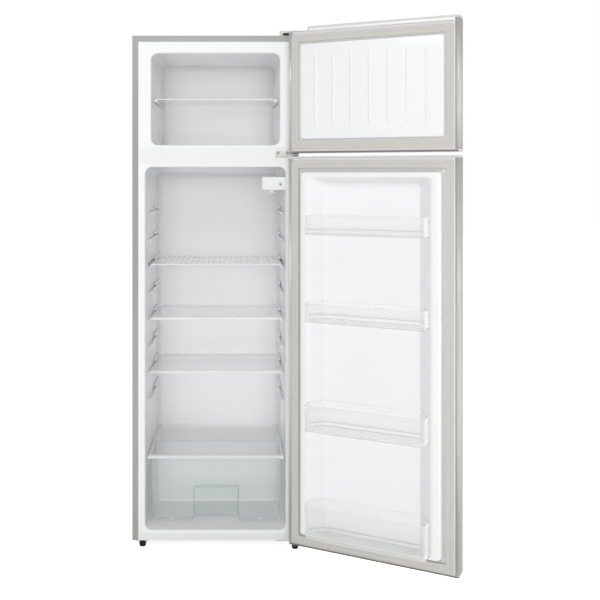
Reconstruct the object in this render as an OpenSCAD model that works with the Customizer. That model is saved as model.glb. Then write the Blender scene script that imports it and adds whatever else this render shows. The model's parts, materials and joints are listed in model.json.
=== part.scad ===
// Top-mount fridge-freezer on feet and rollers, doors standing open, origin on the floor
// under the middle of the cabinet, front towards -Y, all sizes in millimetres.

/* [Cabinet] */
// Width of the cabinet
cab_w = 550; // [460:5:660]
// Depth of the cabinet without its doors
cab_d = 500; // [440:5:600]
// Height of the cabinet above its feet
cab_h = 1669; // [1450:5:2000]
// Gap between the cabinet and the floor
floor_gap = 23; // [20:1:30]
// Thickness of the steel sheet
sheet_t = 1; // [0.8:0.1:1.5]
// Width of the steel border round the front
border_w = 20; // [12:1:24]
// Thickness of the plastic liners
liner_t = 2; // [1.5:0.25:2.5]
// Height of the white strip along the bottom of the front
bottom_trim_h = 22; // [15:1:28]

/* [Freezer room] */
// Wall between the cabinet side and the freezer room at its mouth
frz_side = 62; // [50:1:75]
// Wall above the freezer room
frz_roof = 58; // [45:1:70]
// Height of the freezer room
frz_h = 303; // [250:1:340]
// Depth of the freezer room
frz_depth = 400; // [330:1:425]
// How much each side wall draws in towards the back
frz_taper = 7; // [2:1:12]
// Radius of the corners of the mouth
frz_corner = 19; // [10:1:28]
// Height of the shelf above the freezer floor
frz_shelf_rise = 153; // [90:1:190]

/* [Fridge room] */
// Wall between the cabinet side and the fridge room at its mouth
frg_side = 42.5; // [36:0.5:55]
// Height of the divider between the two rooms
mullion_h = 74; // [60:1:90]
// Height of the sill under the fridge room, from the cabinet's underside
frg_sill = 33; // [30:1:45]
// Depth of the fridge room above the compressor step
frg_depth = 420; // [350:1:435]
// How much each side wall draws in towards the back
frg_taper = 5; // [2:0.5:10]
// Radius of the corners of the mouth
frg_corner = 23; // [12:1:30]
// How far the ceiling drops towards the back
ceiling_drop = 26; // [10:1:40]
// Height of the compressor step above the fridge floor
step_h = 216; // [190:1:240]
// Depth from the front to the compressor step
step_depth = 255; // [240:1:280]
// Insulation round the compressor space
step_wall = 38; // [30:1:45]

/* [Shelves] */
// Depth of each pull-out shelf
shelf_d = 290; // [240:1:300]
// Distance from the cabinet front to the front of each shelf
shelf_set_back = 100; // [92:1:120]
// Height of the lower glass shelf above the fridge floor
shelf_low_rise = 499; // [440:1:520]
// Pitch of the shelf runners
runner_pitch = 91.5; // [80:0.5:100]
// Thickness of the shelf glass
glass_t = 4; // [3:0.5:5]
// Side clearance of each shelf
shelf_gap = 1.5; // [1:0.25:3]
// How far the runners stand in under each shelf edge
runner_bite = 7; // [5:1:10]
// Diameter of the wires of the wire shelf
wire_d = 3; // [2:0.5:4]
// Diameter of the frame rods of the wire shelf
rod_d = 6; // [5:0.5:8]

/* [Crisper] */
// Height of the crisper drawer
crisper_h = 217; // [180:1:235]
// Distance from the cabinet front to the crisper
crisper_set_back = 90; // [88:1:110]
// Gap between the crisper and the compressor step
crisper_back_gap = 5; // [3:1:12]
// Wall of the crisper drawer
crisper_t = 2.5; // [2:0.25:3.5]
// How much the drawer narrows on each side towards its bottom
crisper_draft = 8; // [4:1:14]
// Width of the grip recess
grip_w = 152; // [110:1:180]
// Height of the grip recess
grip_h = 103; // [70:1:120]
// Depth of the grip recess
grip_d = 24; // [18:1:30]
// Distance from the cabinet front to the glass over the crisper
cover_set_back = 33; // [26:1:50]

/* [Doors] */
// Thickness of each door
door_t = 56; // [50:1:60]
// Gap between a closed door and the cabinet, filled by the gasket
door_gap = 12; // [10:0.5:14]
// Gap between the two doors
doors_gap = 11; // [10:0.5:14]
// How far the upper door stands above the cabinet
door_rise = 17.5; // [15:0.5:22]
// Height of the lower door's bottom edge above the floor
door_foot = 33; // [32:1:40]
// Height of the end caps
cap_h = 7; // [5:0.5:10]
// Angle at which the doors stand open
open_angle = 153.6; // [90:0.1:160]
// Distance of the hinge pin from the side of the door
pin_side = 13; // [11:0.5:16]
// Distance of the hinge pin from the inner face of the door
pin_back = 24; // [22:0.5:28]
// Diameter of the hinge pins
pin_d = 8; // [6:0.5:10]
// Radial clearance of a turning fit
run_gap = 0.05; // [0.03:0.01:0.08]
// Distance of the gasket from the edge of the door
gasket_edge = 13.5; // [13:0.5:16]
// Width of the gasket
gasket_w = 25.5; // [20:0.5:30]
// Radius of the folded front edges of the door
door_edge_r = 8; // [3:1:12]
// Width of the notch for the top hinge
notch_w = 66; // [50:1:80]
// How far the raised frame of the fridge door liner stands in
rim_h = 28; // [20:1:30]
// Distance of the raised frame from the edge of the door
rim_edge = 46; // [45:1:52]
// Distance of the ridge's inner edge from the edge of the door
rim_inner = 80; // [74:1:90]
// Depth of the liner's recess behind the inner face of the door
recess_d = 14; // [8:1:20]
// Number of ribs on the freezer door liner
rib_count = 7; // [3:1:9]
// Pitch of those ribs
rib_pitch = 60; // [40:1:64]

/* [Door bins] */
// Heights of the four bins, from the top one down
bin_heights = [60, 58, 82, 105]; // [40:1:130]
// Heights of the bin floors above the bottom of the lower door
bin_floors = [1012, 739, 397, 59]; // [45:1:1100]
// How far a bin stands in past the inner face of the door
bin_reach = 78; // [60:1:82]
// Wall of a bin
bin_t = 2.5; // [2:0.25:3.5]

/* [Feet and rollers] */
// Diameter of a front foot at its top
foot_d = 25; // [20:1:32]
// Diameter of a rear roller
roller_d = 20; // [16:1:22]
// Width of a rear roller
roller_w = 16; // [12:1:20]

/* [Hidden] */
$fn = 48;

// Cabinet planes
half_w = cab_w / 2;
front_y = -cab_d / 2;
back_y = cab_d / 2;
top_z = floor_gap + cab_h;
inner_w = half_w - sheet_t;
trim_y = front_y + sheet_t;
foam_y = trim_y + liner_t;
pan_t = 1.5;
pan_top = floor_gap + pan_t;

// Freezer room
frz_hw = half_w - frz_side;
frz_z1 = top_z - frz_roof;
frz_z0 = frz_z1 - frz_h;
frz_back = front_y + frz_depth;
frz_back_hw = frz_hw - frz_taper;
frz_back_r = 22;

// Fridge room
frg_hw = half_w - frg_side;
frg_z1 = frz_z0 - mullion_h;
frg_z0 = floor_gap + frg_sill;
frg_back = front_y + frg_depth;
frg_back_hw = frg_hw - frg_taper;
frg_back_r = 26;
step_z = frg_z0 + step_h;
step_y = front_y + step_depth;
step_r = 14;
seam_z = (frz_z0 + frg_z1) / 2;
mouth_lip = 9;

// Crisper and the rails on the floor that carry it
rail_h = 3.7;
rail_w = 12;
rail_x = 150;
crisper_z0 = frg_z0 + rail_h + 0.3;
crisper_r = 12;

// Compressor space
space_y = step_y + step_wall;
space_z = step_z - step_wall;

// Shelves and runners
runner_h = 7;
shelf_hw = frg_back_hw - shelf_gap;
shelf_low_z = frg_z0 + shelf_low_rise;
shelf_high_z = shelf_low_z + 2 * runner_pitch;
wire_shelf_z = shelf_low_z + 4 * runner_pitch;
runner_levels = [-1, 0, 1, 2, 3, 4, 5, 6];
cover_over_step = 14;
cover_gap = 9;
cover_z = max(step_z + cover_over_step, crisper_z0 + crisper_h + cover_gap);
frz_shelf_z = frz_z0 + frz_shelf_rise;
frz_shelf_hw = frz_back_hw - shelf_gap;
frz_shelf_set_back = 60;
trim_h = 9;
trim_d = 12;
lip_t = 2;
shelf_y0 = front_y + shelf_set_back;
lay_gap = 0.1;
hold_gap = 0.4;
cover_y0 = front_y + cover_set_back;

// Doors, drawn closed and turned about the hinge pin
door_hw = half_w;
inner_y = front_y - door_gap;
outer_y = inner_y - door_t;
pin_x = half_w - pin_side;
pin_y = inner_y - pin_back;
pin_r = pin_d / 2;
upper_z1 = top_z + door_rise;
upper_z0 = seam_z + doors_gap / 2 + 3;
lower_z1 = upper_z0 - doors_gap;
lower_z0 = door_foot;
return_w = 12;
gasket_gap = 0.6;
notch_z = top_z + 5;
notch_floor = 2;
bush_len = 16;
pin_reach = 12;
washer_r = pin_r + 3;
rest_gap = 0.3;
gasket_top_drop = 12;
panel_rise = 6;
recess_foot = 52;
recess_slope = 6;
rim_slope = 6;
plate_t = 3;
arm_r = 11;

// Mid-height bracket between the doors
mid_plate_z = (upper_z0 + lower_z1) / 2 - 2;
mid_plate_t = 4;

// Thermostat and lamp housing on the right wall
box_w = 75;
box_h = 42;
box_d = 95;
box_y = front_y + 26;
box_z1 = frg_z1 - 33;
box_x1 = frg_hw - 2;
box_x0 = box_x1 - box_w;
box_t = 2;
lens_y = [box_y + 30, box_y + 80];
lens_z = [box_z1 - box_h + 8, box_z1 - 8];
switch_r = 4.5;
switch_x = box_x1 - 14;
switch_z = box_z1 - 24;
switch_out = 9;
knob_r = 17;
knob_h = 11;
knob_x = box_x0 + 32;
knob_y = box_y + 48;
shaft_r = 3;

// Feet, rollers and their places
foot_r = foot_d / 2;
stud_r = 4;
stud_short = 0.3;
foot_top = floor_gap - plate_t - 1;
plate_foot = 20;
foot_left_x = -half_w + 33;
foot_left_y = front_y + 15;
foot_right_x = pin_x + 1;
foot_right_y = front_y - 4;
roller_x = half_w - 50;
roller_y = back_y - 35;
roller_r = roller_d / 2;
axle_r = 3;

// Compressor and its neighbours
comp_x = 55;
comp_y = (space_y + back_y) / 2 + 2;
comp_r = 70;
comp_z0 = pan_top + 16;
comp_top = comp_z0 + 136;
grommet_x = 78;
grommet_y = 46;
tray_x = 84;
tray_y = 58;
tray_z = comp_top;
tray_h = 22;
drain_x = comp_x + 50;
drain_y = frg_back - 20;
drain_r = 7;
drain_t = 1.5;

// Condenser on the back
cond_tube_r = 2.5;
cond_y = back_y + 14;
cond_hw = half_w - 60;
cond_passes = 20;
cond_z0 = 330;
cond_pitch = (top_z - 190 - cond_z0) / (cond_passes - 1);
cond_wire_r = 0.8;
cond_wires = 26;
drier_x = -150;
drier_y = back_y - 40;
gland_x = -200;
gland_z = pan_top + 22;
cond_z1 = cond_z0 + (cond_passes - 1) * cond_pitch;
clip_half = 7;

// Refrigerant pipes and the evaporator coils
pipe_r = 3;
capillary_r = 1.5;
suction_x = -60;
suction_y = back_y - 30;
suction_rise = 60;
suction_hole_r = 5;
hot_x = -cond_hw - 25;
// the riser stands between the back panel and the bends of the condenser
riser_y = cond_y - 2 * cond_tube_r - 1.2;
coil_r = 4;
coil_plate_t = 1;

// Hinge screws and their places
screw_r = 2.5;
screw_head_r = 5;
screw_head_h = 2.2;
screw_y = front_y + 22;
top_screws = [[half_w - 20, screw_y], [half_w - 46, screw_y]];
mid_screw_z = mid_plate_z + mid_plate_t + screw_head_r + 0.3;
mid_screws = [[half_w - 68, mid_screw_z], [half_w - 36, mid_screw_z]];
bottom_screws = [[half_w - 62, screw_y], [half_w - 36, screw_y + 8]];
arm_z = notch_z + 1;

// ---- plain helpers ----
function arc(cx, cy, r, a0, a1, n = 8) =
  [for (i = [0:n]) let (a = a0 + (a1 - a0) * i / n) [cx + r * cos(a), cy + r * sin(a)]];

module block(x, y, z) {
  translate([x[0], y[0], z[0]]) cube([x[1] - x[0], y[1] - y[0], z[1] - z[0]]);
}

module rounded(x, y, r) {
  translate([x[0] + r, y[0]]) square([x[1] - x[0] - 2 * r, y[1] - y[0]]);
  translate([x[0], y[0] + r]) square([x[1] - x[0], y[1] - y[0] - 2 * r]);
  for (cx = [x[0] + r, x[1] - r], cy = [y[0] + r, y[1] - r]) translate([cx, cy]) circle(r = r);
}

module along_x(x0, x1) {
  translate([x0, 0, 0]) rotate([90, 0, 90]) linear_extrude(x1 - x0) children();
}

module along_y(y0, y1) {
  translate([0, y1, 0]) rotate([90, 0, 0]) linear_extrude(y1 - y0) children();
}

module along_z(z0, z1) {
  translate([0, 0, z0]) linear_extrude(z1 - z0) children();
}

module rod(a, b, r) {
  d = b - a;
  len = norm(d);
  translate(a) rotate([0, acos(d[2] / len), atan2(d[1], d[0])]) cylinder(r = r, h = len);
}

// Tube along points, with a slightly fuller ball at each bend
module pipe(points, r) {
  for (i = [0:len(points) - 2]) rod(points[i], points[i + 1], r);
  for (i = [1:len(points) - 2]) translate(points[i]) sphere(r = 1.12 * r);
}

// ---- room shapes, grown by e for the liner's outside ----
module room_plan(hw, back_hw, y1, r, e) {
  polygon(concat([[-hw - e, front_y - 5], [hw + e, front_y - 5]],
    arc(back_hw - r, y1 - r, r + e, 0, 90), arc(r - back_hw, y1 - r, r + e, 90, 180)));
}

module freezer_room(e) {
  intersection() {
    along_y(front_y - 5, frz_back + e)
      rounded([-frz_hw - e, frz_hw + e], [frz_z0 - e, frz_z1 + e], frz_corner + e);
    along_z(frz_z0 - e, frz_z1 + e) room_plan(frz_hw, frz_back_hw, frz_back, frz_back_r, e);
  }
}

module fridge_side(e) {
  roof = frg_z1 - ceiling_drop;
  polygon(concat([[front_y - 5, frg_z0 - e], [step_y + e, frg_z0 - e]],
    arc(step_y + step_r, step_z - step_r, step_r - e, 180, 90),
    [[frg_back + e, step_z - e]],
    arc(frg_back - frg_back_r, roof - frg_back_r, frg_back_r + e, 0, 80),
    [[front_y + 60, frg_z1 + e], [front_y - 5, frg_z1 + e]]));
}

module fridge_room(e) {
  intersection() {
    along_y(front_y - 5, frg_back + e)
      rounded([-frg_hw - e, frg_hw + e], [frg_z0 - e, frg_z1 + e], frg_corner + e);
    along_z(frg_z0 - e, frg_z1 + e) room_plan(frg_hw, frg_back_hw, frg_back, frg_back_r, e);
    along_x(-half_w, half_w) fridge_side(e);
  }
}

// ---- cabinet ----
module mid_screw_holes() {
  for (p = mid_screws) translate([p[0], front_y + 20, p[1]]) rotate([90, 0, 0])
    cylinder(r = screw_r, h = 40);
}

module top_screw_holes() {
  for (p = top_screws) translate([p[0], p[1], top_z - 20]) cylinder(r = screw_r, h = 30);
}

module bottom_screw_holes() {
  for (p = bottom_screws) translate([p[0], p[1], 0]) cylinder(r = screw_r, h = pan_top + 8);
}

module outer_shell() {
  color("silver") difference() {
    block([-half_w, half_w], [front_y, back_y], [floor_gap, top_z]);
    block([-inner_w, inner_w], [trim_y, back_y + 1], [floor_gap - 1, top_z - sheet_t]);
    block([-half_w + border_w, half_w - border_w], [front_y - 1, trim_y + 1],
      [floor_gap - 1, top_z - border_w]);
    top_screw_holes();
  }
}

module back_panel() {
  color("gainsboro") block([-inner_w, inner_w], [back_y - sheet_t, back_y],
    [space_z, top_z - sheet_t]);
}

module base_pan() {
  color("gray") difference() {
    union() {
      block([-inner_w, inner_w], [foam_y, back_y], [floor_gap, pan_top]);
      block([-inner_w, gland_x + 80], [back_y - pan_t, back_y], [floor_gap, pan_top + 45]);
      block([foot_left_x - plate_foot, foot_left_x + plate_foot], [foam_y, foam_y + 2 * plate_foot],
        [floor_gap - plate_t, floor_gap]);
    }
    translate([foot_left_x, foot_left_y, 0]) cylinder(r = stud_r + run_gap, h = 60);
    translate([gland_x, back_y, gland_z]) rotate([90, 0, 0]) cylinder(r = 8, h = 20, center = true);
    bottom_screw_holes();
  }
}

module step_panel() {
  color("lightgray") difference() {
    union() {
      block([-inner_w, inner_w], [space_y - sheet_t, space_y], [pan_top, space_z]);
      block([-inner_w, inner_w], [space_y - sheet_t, back_y], [space_z - sheet_t, space_z]);
    }
    translate([drain_x, drain_y, space_z - 10]) cylinder(r = drain_r, h = 20);
    translate([suction_x, suction_y, space_z - 10]) cylinder(r = suction_hole_r, h = 20);
  }
}

module mullion_cover() {
  color("white") difference() {
    block([-half_w + border_w, half_w - border_w], [front_y, trim_y],
      [frg_z1 + mouth_lip, frz_z0 - mouth_lip]);
    mid_screw_holes();
  }
}

module bottom_trim() {
  color("white") block([-half_w + border_w, half_w - border_w], [front_y, foam_y],
    [floor_gap, floor_gap + bottom_trim_h]);
}

module flange(z0, z1) {
  along_y(trim_y, foam_y) translate([-inner_w, z0]) square([2 * inner_w, z1 - z0]);
}

module runner_pair(z, y0, y1, reach) {
  for (s = [-1, 1]) scale([s, 1, 1])
    block([reach, half_w], [y0, y1], [z - runner_h, z]);
}

module runner_guard(z, y0, y1, reach) {
  for (s = [-1, 1]) scale([s, 1, 1])
    block([reach, half_w], [y0, y1], [z, z + runner_h]);
}

module freezer_liner() {
  color("whitesmoke") difference() {
    union() {
      difference() {
        union() {
          intersection() {
            freezer_room(liner_t);
            block([-half_w, half_w], [trim_y, back_y], [0, top_z]);
          }
          flange(seam_z, top_z - sheet_t);
        }
        freezer_room(0);
      }
      intersection() {
        freezer_room(liner_t / 2);
        union() {
          runner_pair(frz_shelf_z, front_y + 50, frz_back - 40, frz_shelf_hw - runner_bite);
          runner_guard(frz_shelf_z + glass_t + hold_gap, front_y + 220, frz_back - 40,
            frz_shelf_hw - runner_bite);
        }
      }
    }
    mid_screw_holes();
  }
}

module fridge_liner() {
  color("whitesmoke") difference() {
    union() {
      difference() {
        union() {
          intersection() {
            fridge_room(liner_t);
            block([-half_w, half_w], [trim_y, back_y], [0, top_z]);
          }
          flange(floor_gap + bottom_trim_h, seam_z);
        }
        fridge_room(0);
      }
      intersection() {
        fridge_room(liner_t / 2);
        union() {
          for (n = runner_levels) {
            z = shelf_low_z + n * runner_pitch;
            runner_pair(z, shelf_y0 + 4, frg_back - 20, shelf_hw - runner_bite);
            runner_guard(z + rod_d + hold_gap, shelf_y0 + 150, frg_back - 40,
              shelf_hw - runner_bite);
          }
          runner_pair(cover_z, cover_y0 + 4, frg_back - 20,
            shelf_hw - runner_bite);
          for (x = [-rail_x, rail_x]) block([x - rail_w / 2, x + rail_w / 2],
            [front_y + 30, step_y + 1], [frg_z0 - liner_t, frg_z0 + rail_h]);
        }
      }
    }
    translate([drain_x, drain_y, step_z - 20]) cylinder(r = drain_r - drain_t, h = 30);
  }
}

module cabinet_foam() {
  color("khaki") difference() {
    block([-inner_w, inner_w], [foam_y, back_y - sheet_t], [pan_top, top_z - sheet_t]);
    block([-half_w, half_w], [space_y - sheet_t, back_y + 1], [0, space_z]);
    freezer_room(liner_t);
    fridge_room(liner_t);
    freezer_coil();
    fridge_coil();
    mid_screw_holes();
    top_screw_holes();
    bottom_screw_holes();
    translate([drain_x, drain_y, space_z - 20]) cylinder(r = drain_r, h = step_wall + 40);
    translate([suction_x, suction_y, space_z - 20]) cylinder(r = suction_hole_r, h = suction_rise + 20);
  }
}

// ---- evaporators, foamed in behind the liners ----
module coil(hw, z0, z1, passes, y, r) {
  pitch = (z1 - z0) / (passes - 1);
  for (i = [0:passes - 1])
    rod([-hw, y, z0 + i * pitch], [hw, y, z0 + i * pitch], r);
  for (i = [0:passes - 2]) {
    side = i % 2 == 0 ? 1 : -1;
    translate([side * hw, y, z0 + (i + 0.5) * pitch]) rotate([90, 0, 0])
      rotate([0, 0, side > 0 ? -90 : 90]) rotate_extrude(angle = 180)
        translate([pitch / 2, 0]) circle(r = r);
  }
}

module freezer_coil() {
  y0 = frz_back + liner_t;
  block([-frz_back_hw + 30, frz_back_hw - 30], [y0, y0 + coil_plate_t],
    [frz_z0 + 20, frz_z1 - 20]);
  coil(frz_back_hw - 60, frz_z0 + 45, frz_z1 - 45, 6, y0 + coil_plate_t + coil_r - 0.5, coil_r);
}

module fridge_coil() {
  y0 = frg_back + liner_t;
  block([-frg_back_hw + 40, frg_back_hw - 40], [y0, y0 + coil_plate_t],
    [wire_shelf_z - 260, wire_shelf_z + 180]);
  coil(frg_back_hw - 80, wire_shelf_z - 230, wire_shelf_z + 150, 7,
    y0 + coil_plate_t + coil_r - 0.5, coil_r);
}

module freezer_evaporator() {
  color("silver") freezer_coil();
}

module fridge_evaporator() {
  color("silver") fridge_coil();
}

// ---- cooling machinery ----
module condenser() {
  color("dimgray") {
    coil(cond_hw, cond_z0, cond_z0 + (cond_passes - 1) * cond_pitch, cond_passes,
      cond_y, cond_tube_r);
    wire_y = cond_tube_r + cond_wire_r + 0.02;
    for (i = [0:cond_wires - 1], s = [-1, 1])
      translate([-cond_hw + 12 + i * (2 * cond_hw - 24) / (cond_wires - 1),
        cond_y + s * wire_y, cond_z0 - 12])
        cylinder(r = cond_wire_r, h = (cond_passes - 1) * cond_pitch + 24, $fn = 16);
  }
}

module condenser_clips() {
  color("white") for (s = [-1, 1], i = [1, 7, 12, 18])
    translate([s * (cond_hw - 2), 0, cond_z0 + i * cond_pitch]) difference() {
      block([-4, 4], [back_y, cond_y + 3], [-clip_half, clip_half]);
      rotate([0, 90, 0]) translate([0, cond_y, -10]) cylinder(r = cond_tube_r, h = 20);
    }
}

module compressor_profile() {
  h = comp_top - comp_z0;
  polygon(concat([[0, 0], [comp_r - 26, 0]],
    arc(comp_r - 26, 26, 26, -90, 0), arc(comp_r - 40, h - 40, 40, 0, 80), [[0, h]]));
}

module compressor() {
  color("black") {
    translate([comp_x, comp_y, comp_z0]) rotate_extrude() compressor_profile();
    difference() {
      block([comp_x - grommet_x - 14, comp_x + grommet_x + 14],
        [comp_y - grommet_y - 12, comp_y + grommet_y + 12],
        [comp_z0 - 1.5, comp_z0 + 1.5]);
      for (sx = [-1, 1], sy = [-1, 1])
        translate([comp_x + sx * grommet_x, comp_y + sy * grommet_y, comp_z0 - 5])
          cylinder(r = 7, h = 10);
    }
  }
}

module compressor_grommets() {
  color("dimgray") for (sx = [-1, 1], sy = [-1, 1])
    translate([comp_x + sx * grommet_x, comp_y + sy * grommet_y, 0]) {
      translate([0, 0, pan_top]) cylinder(r = 10, h = comp_z0 - 1.5 - pan_top);
      translate([0, 0, comp_z0 - 1.5]) cylinder(r = 7, h = 6);
      translate([0, 0, comp_z0 + 1.5]) cylinder(r = 9, h = 3);
    }
}

module starter_relay() {
  color("black") difference() {
    block([comp_x - comp_r - 22, comp_x - comp_r + 14], [comp_y - 28, comp_y + 28],
      [comp_z0 + 34, comp_z0 + 94]);
    translate([comp_x, comp_y, comp_z0]) rotate_extrude() compressor_profile();
  }
}

module filter_drier() {
  color("peru") translate([drier_x, drier_y, 60]) {
    cylinder(r1 = 3, r2 = 9.5, h = 10);
    translate([0, 0, 10]) cylinder(r = 9.5, h = 90);
    translate([0, 0, 100]) cylinder(r1 = 9.5, r2 = 3, h = 10);
  }
}

module pipework() {
  color("peru") difference() {
    union() {
      pipe([[comp_x - 30, comp_y - 20, comp_top - 30], [comp_x - 85, comp_y - 30, comp_top - 4],
        [suction_x, suction_y, comp_top + 4], [suction_x, suction_y, space_z + suction_rise]], pipe_r);
      pipe([[comp_x - 30, comp_y + 40, comp_top - 30], [comp_x - 60, back_y - 14, comp_top - 10],
        [hot_x, back_y - 12, comp_top - 10], [hot_x, riser_y, comp_top + 10],
        [hot_x, riser_y, cond_z1], [-cond_hw, cond_y, cond_z1]], cond_tube_r);
      pipe([[drier_x, drier_y, 168], [drier_x, drier_y, 186],
        [suction_x - pipe_r - capillary_r, suction_y, 200],
        [suction_x - pipe_r - capillary_r, suction_y, space_z - 12]], capillary_r);
      pipe([[drier_x, drier_y, 62], [drier_x, drier_y, 48], [drier_x - 50, back_y - 20, 52],
        [-cond_hw, back_y - 16, 120], [-cond_hw, cond_y, 150], [-cond_hw, cond_y, cond_z0 - 20],
        [-cond_hw, cond_y, cond_z0]], cond_tube_r);
    }
    translate([comp_x, comp_y, comp_z0]) rotate_extrude() compressor_profile();
    translate([drier_x, drier_y, 60]) {
      cylinder(r1 = 3, r2 = 9.5, h = 10);
      translate([0, 0, 100]) cylinder(r1 = 9.5, r2 = 3, h = 10);
    }
    for (z = [cond_z0, cond_z1]) rod([-cond_hw, cond_y, z], [0, cond_y, z], cond_tube_r);
  }
}

module drip_tray() {
  color("dimgray") difference() {
    block([comp_x - tray_x, comp_x + tray_x], [comp_y - tray_y, comp_y + tray_y],
      [tray_z, tray_z + tray_h]);
    block([comp_x - tray_x + 2, comp_x + tray_x - 2], [comp_y - tray_y + 2, comp_y + tray_y - 2],
      [tray_z + 2, tray_z + tray_h + 1]);
  }
}

module drain_tube() {
  color("whitesmoke") translate([drain_x, drain_y, tray_z + 8]) difference() {
    cylinder(r = drain_r, h = step_z - liner_t - tray_z - 8);
    translate([0, 0, -1]) cylinder(r = drain_r - drain_t, h = step_z);
  }
}

module cord_gland() {
  color("black") translate([gland_x, back_y - pan_t / 2, gland_z]) rotate([90, 0, 0]) difference() {
    union() {
      cylinder(r = 8, h = pan_t, center = true);
      translate([0, 0, pan_t / 2]) cylinder(r = 11, h = 4);
      translate([0, 0, -pan_t / 2 - 4]) cylinder(r = 11, h = 4);
    }
    cylinder(r = 3.5, h = 40, center = true);
  }
}

// ---- hinges ----
module arm_outline(y1) {
  translate([pin_x, pin_y]) circle(r = arm_r);
  translate([pin_x - arm_r, pin_y]) square([2 * arm_r, y1 - pin_y]);
}

module top_hinge() {
  color("lightgray") difference() {
    union() {
      block([half_w - 56, half_w - 4], [front_y + 4, front_y + 40], [top_z, top_z + plate_t]);
      block([pin_x - arm_r, pin_x + arm_r], [front_y + 4, front_y + 4 + plate_t],
        [top_z, arm_z + plate_t]);
      along_z(arm_z, arm_z + plate_t) arm_outline(front_y + 4 + plate_t);
    }
    translate([pin_x, pin_y, 0]) cylinder(r = pin_r, h = top_z + 40);
    top_screw_holes();
  }
}

module top_hinge_cover() {
  color("silver") difference() {
    block([half_w - 60, half_w], [front_y + 1, front_y + 46], [top_z, upper_z1 - 1]);
    block([half_w - 58, half_w - 2], [front_y + 3, front_y + 44], [top_z - 1, upper_z1 - 3]);
    block([half_w - 30, half_w - 1], [front_y - 1, front_y + 10], [top_z - 1, arm_z + plate_t + 1]);
  }
}

module middle_hinge() {
  color("lightgray") difference() {
    union() {
      block([half_w - 77, half_w - 25], [front_y - plate_t, front_y],
        [mid_plate_z - 7, mid_screw_z + screw_head_r + 1]);
      block([half_w - 77, pin_x + arm_r], [front_y - plate_t - 8, front_y - plate_t],
        [mid_plate_z, mid_plate_z + mid_plate_t]);
      along_z(mid_plate_z, mid_plate_z + mid_plate_t) arm_outline(front_y - plate_t);
    }
    translate([pin_x, pin_y, 0]) cylinder(r = pin_r, h = top_z);
    mid_screw_holes();
  }
}

module bottom_hinge() {
  color("lightgray") difference() {
    along_z(floor_gap - plate_t, floor_gap) {
      arm_outline(front_y + 50);
      translate([half_w - 76, front_y + 4]) square([75, 46]);
    }
    translate([pin_x, pin_y, 0]) cylinder(r = pin_r, h = 60);
    translate([foot_right_x, foot_right_y, 0]) cylinder(r = stud_r + run_gap, h = 60);
    bottom_screw_holes();
  }
}

module pin_piece(z0, z1, r) {
  translate([0, 0, z0]) cylinder(r = r, h = z1 - z0);
}

module hinge_pins() {
  color("darkgray") translate([pin_x, pin_y, 0]) {
    pin_piece(notch_z - pin_reach, arm_z + plate_t, pin_r);
    pin_piece(lower_z1 - pin_reach, upper_z0 + pin_reach, pin_r);
    pin_piece(mid_plate_z + mid_plate_t, upper_z0 - rest_gap, washer_r);
    pin_piece(floor_gap - plate_t, lower_z0 + pin_reach, pin_r);
    pin_piece(floor_gap, lower_z0 - rest_gap, washer_r);
  }
}

module screw(len) {
  cylinder(r = screw_r, h = len);
  translate([0, 0, len]) cylinder(r = screw_head_r, h = screw_head_h);
}

module hinge_screws() {
  color("dimgray") {
    for (p = top_screws) translate([p[0], p[1], top_z - 12]) screw(12 + plate_t);
    for (p = mid_screws) translate([p[0], front_y + 14, p[1]]) rotate([90, 0, 0])
      screw(14 + plate_t);
    for (p = bottom_screws) translate([p[0], p[1], pan_top + 6]) rotate([180, 0, 0])
      screw(6 + pan_t + plate_t);
  }
}

// ---- feet and rollers ----
module foot(x, y) {
  color("black") translate([x, y, 0]) {
    cylinder(r1 = foot_r - 2.5, r2 = foot_r, h = foot_top);
    cylinder(r = stud_r, h = floor_gap - stud_short);
  }
}

module foot_left() {
  foot(foot_left_x, foot_left_y);
}

module foot_right() {
  foot(foot_right_x, foot_right_y);
}

module roller_brackets() {
  color("gray") for (s = [-1, 1]) translate([s * roller_x, roller_y, 0]) {
    for (c = [-1, 1]) block(
      [c > 0 ? roller_w / 2 + 1 : -roller_w / 2 - 2.5, c > 0 ? roller_w / 2 + 2.5 : -roller_w / 2 - 1],
      [-9, 9], [roller_r - 6, floor_gap]);
    rotate([0, 90, 0]) translate([-roller_r, 0, 0])
      cylinder(r = axle_r, h = roller_w + 8, center = true);
  }
}

module roller(s) {
  color("dimgray") translate([s * roller_x, roller_y, roller_r]) rotate([0, 90, 0]) difference() {
    cylinder(r = roller_r, h = roller_w, center = true);
    cylinder(r = axle_r + run_gap, h = roller_w + 2, center = true);
  }
}

module roller_left() {
  roller(-1);
}

module roller_right() {
  roller(1);
}

// ---- shelves ----
module plate_shelf(hw, y0, level) {
  color("lightcyan") block([-hw, hw], [y0, y0 + shelf_d],
    [level + lay_gap, level + lay_gap + glass_t]);
}

// Plastic strip that grips the front edge of a glass shelf
module front_trim(hw, y0, z) {
  top = z + glass_t + lip_t;
  low_hw = hw - runner_bite - lip_t;
  difference() {
    union() {
      block([-hw, hw], [y0 - lip_t, y0 + trim_d], [z, top]);
      block([-low_hw, low_hw], [y0 - lip_t, y0 + trim_d], [top - trim_h, z + glass_t / 2]);
    }
    block([-hw - 1, hw + 1], [y0, y0 + trim_d + 1], [z, z + glass_t]);
  }
}

// The same for the back edge, which ends between the runners
module back_trim(hw, y1, z) {
  low_hw = hw - runner_bite - lip_t;
  difference() {
    block([-low_hw, low_hw], [y1 - trim_d, y1 + lip_t], [z - lip_t, z + glass_t + lip_t]);
    block([-hw, hw], [y1 - trim_d - 1, y1], [z, z + glass_t]);
  }
}

module shelf_trim(level) {
  color("white") {
    front_trim(shelf_hw, shelf_y0, level + lay_gap);
    back_trim(shelf_hw, shelf_y0 + shelf_d, level + lay_gap);
  }
}

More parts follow.
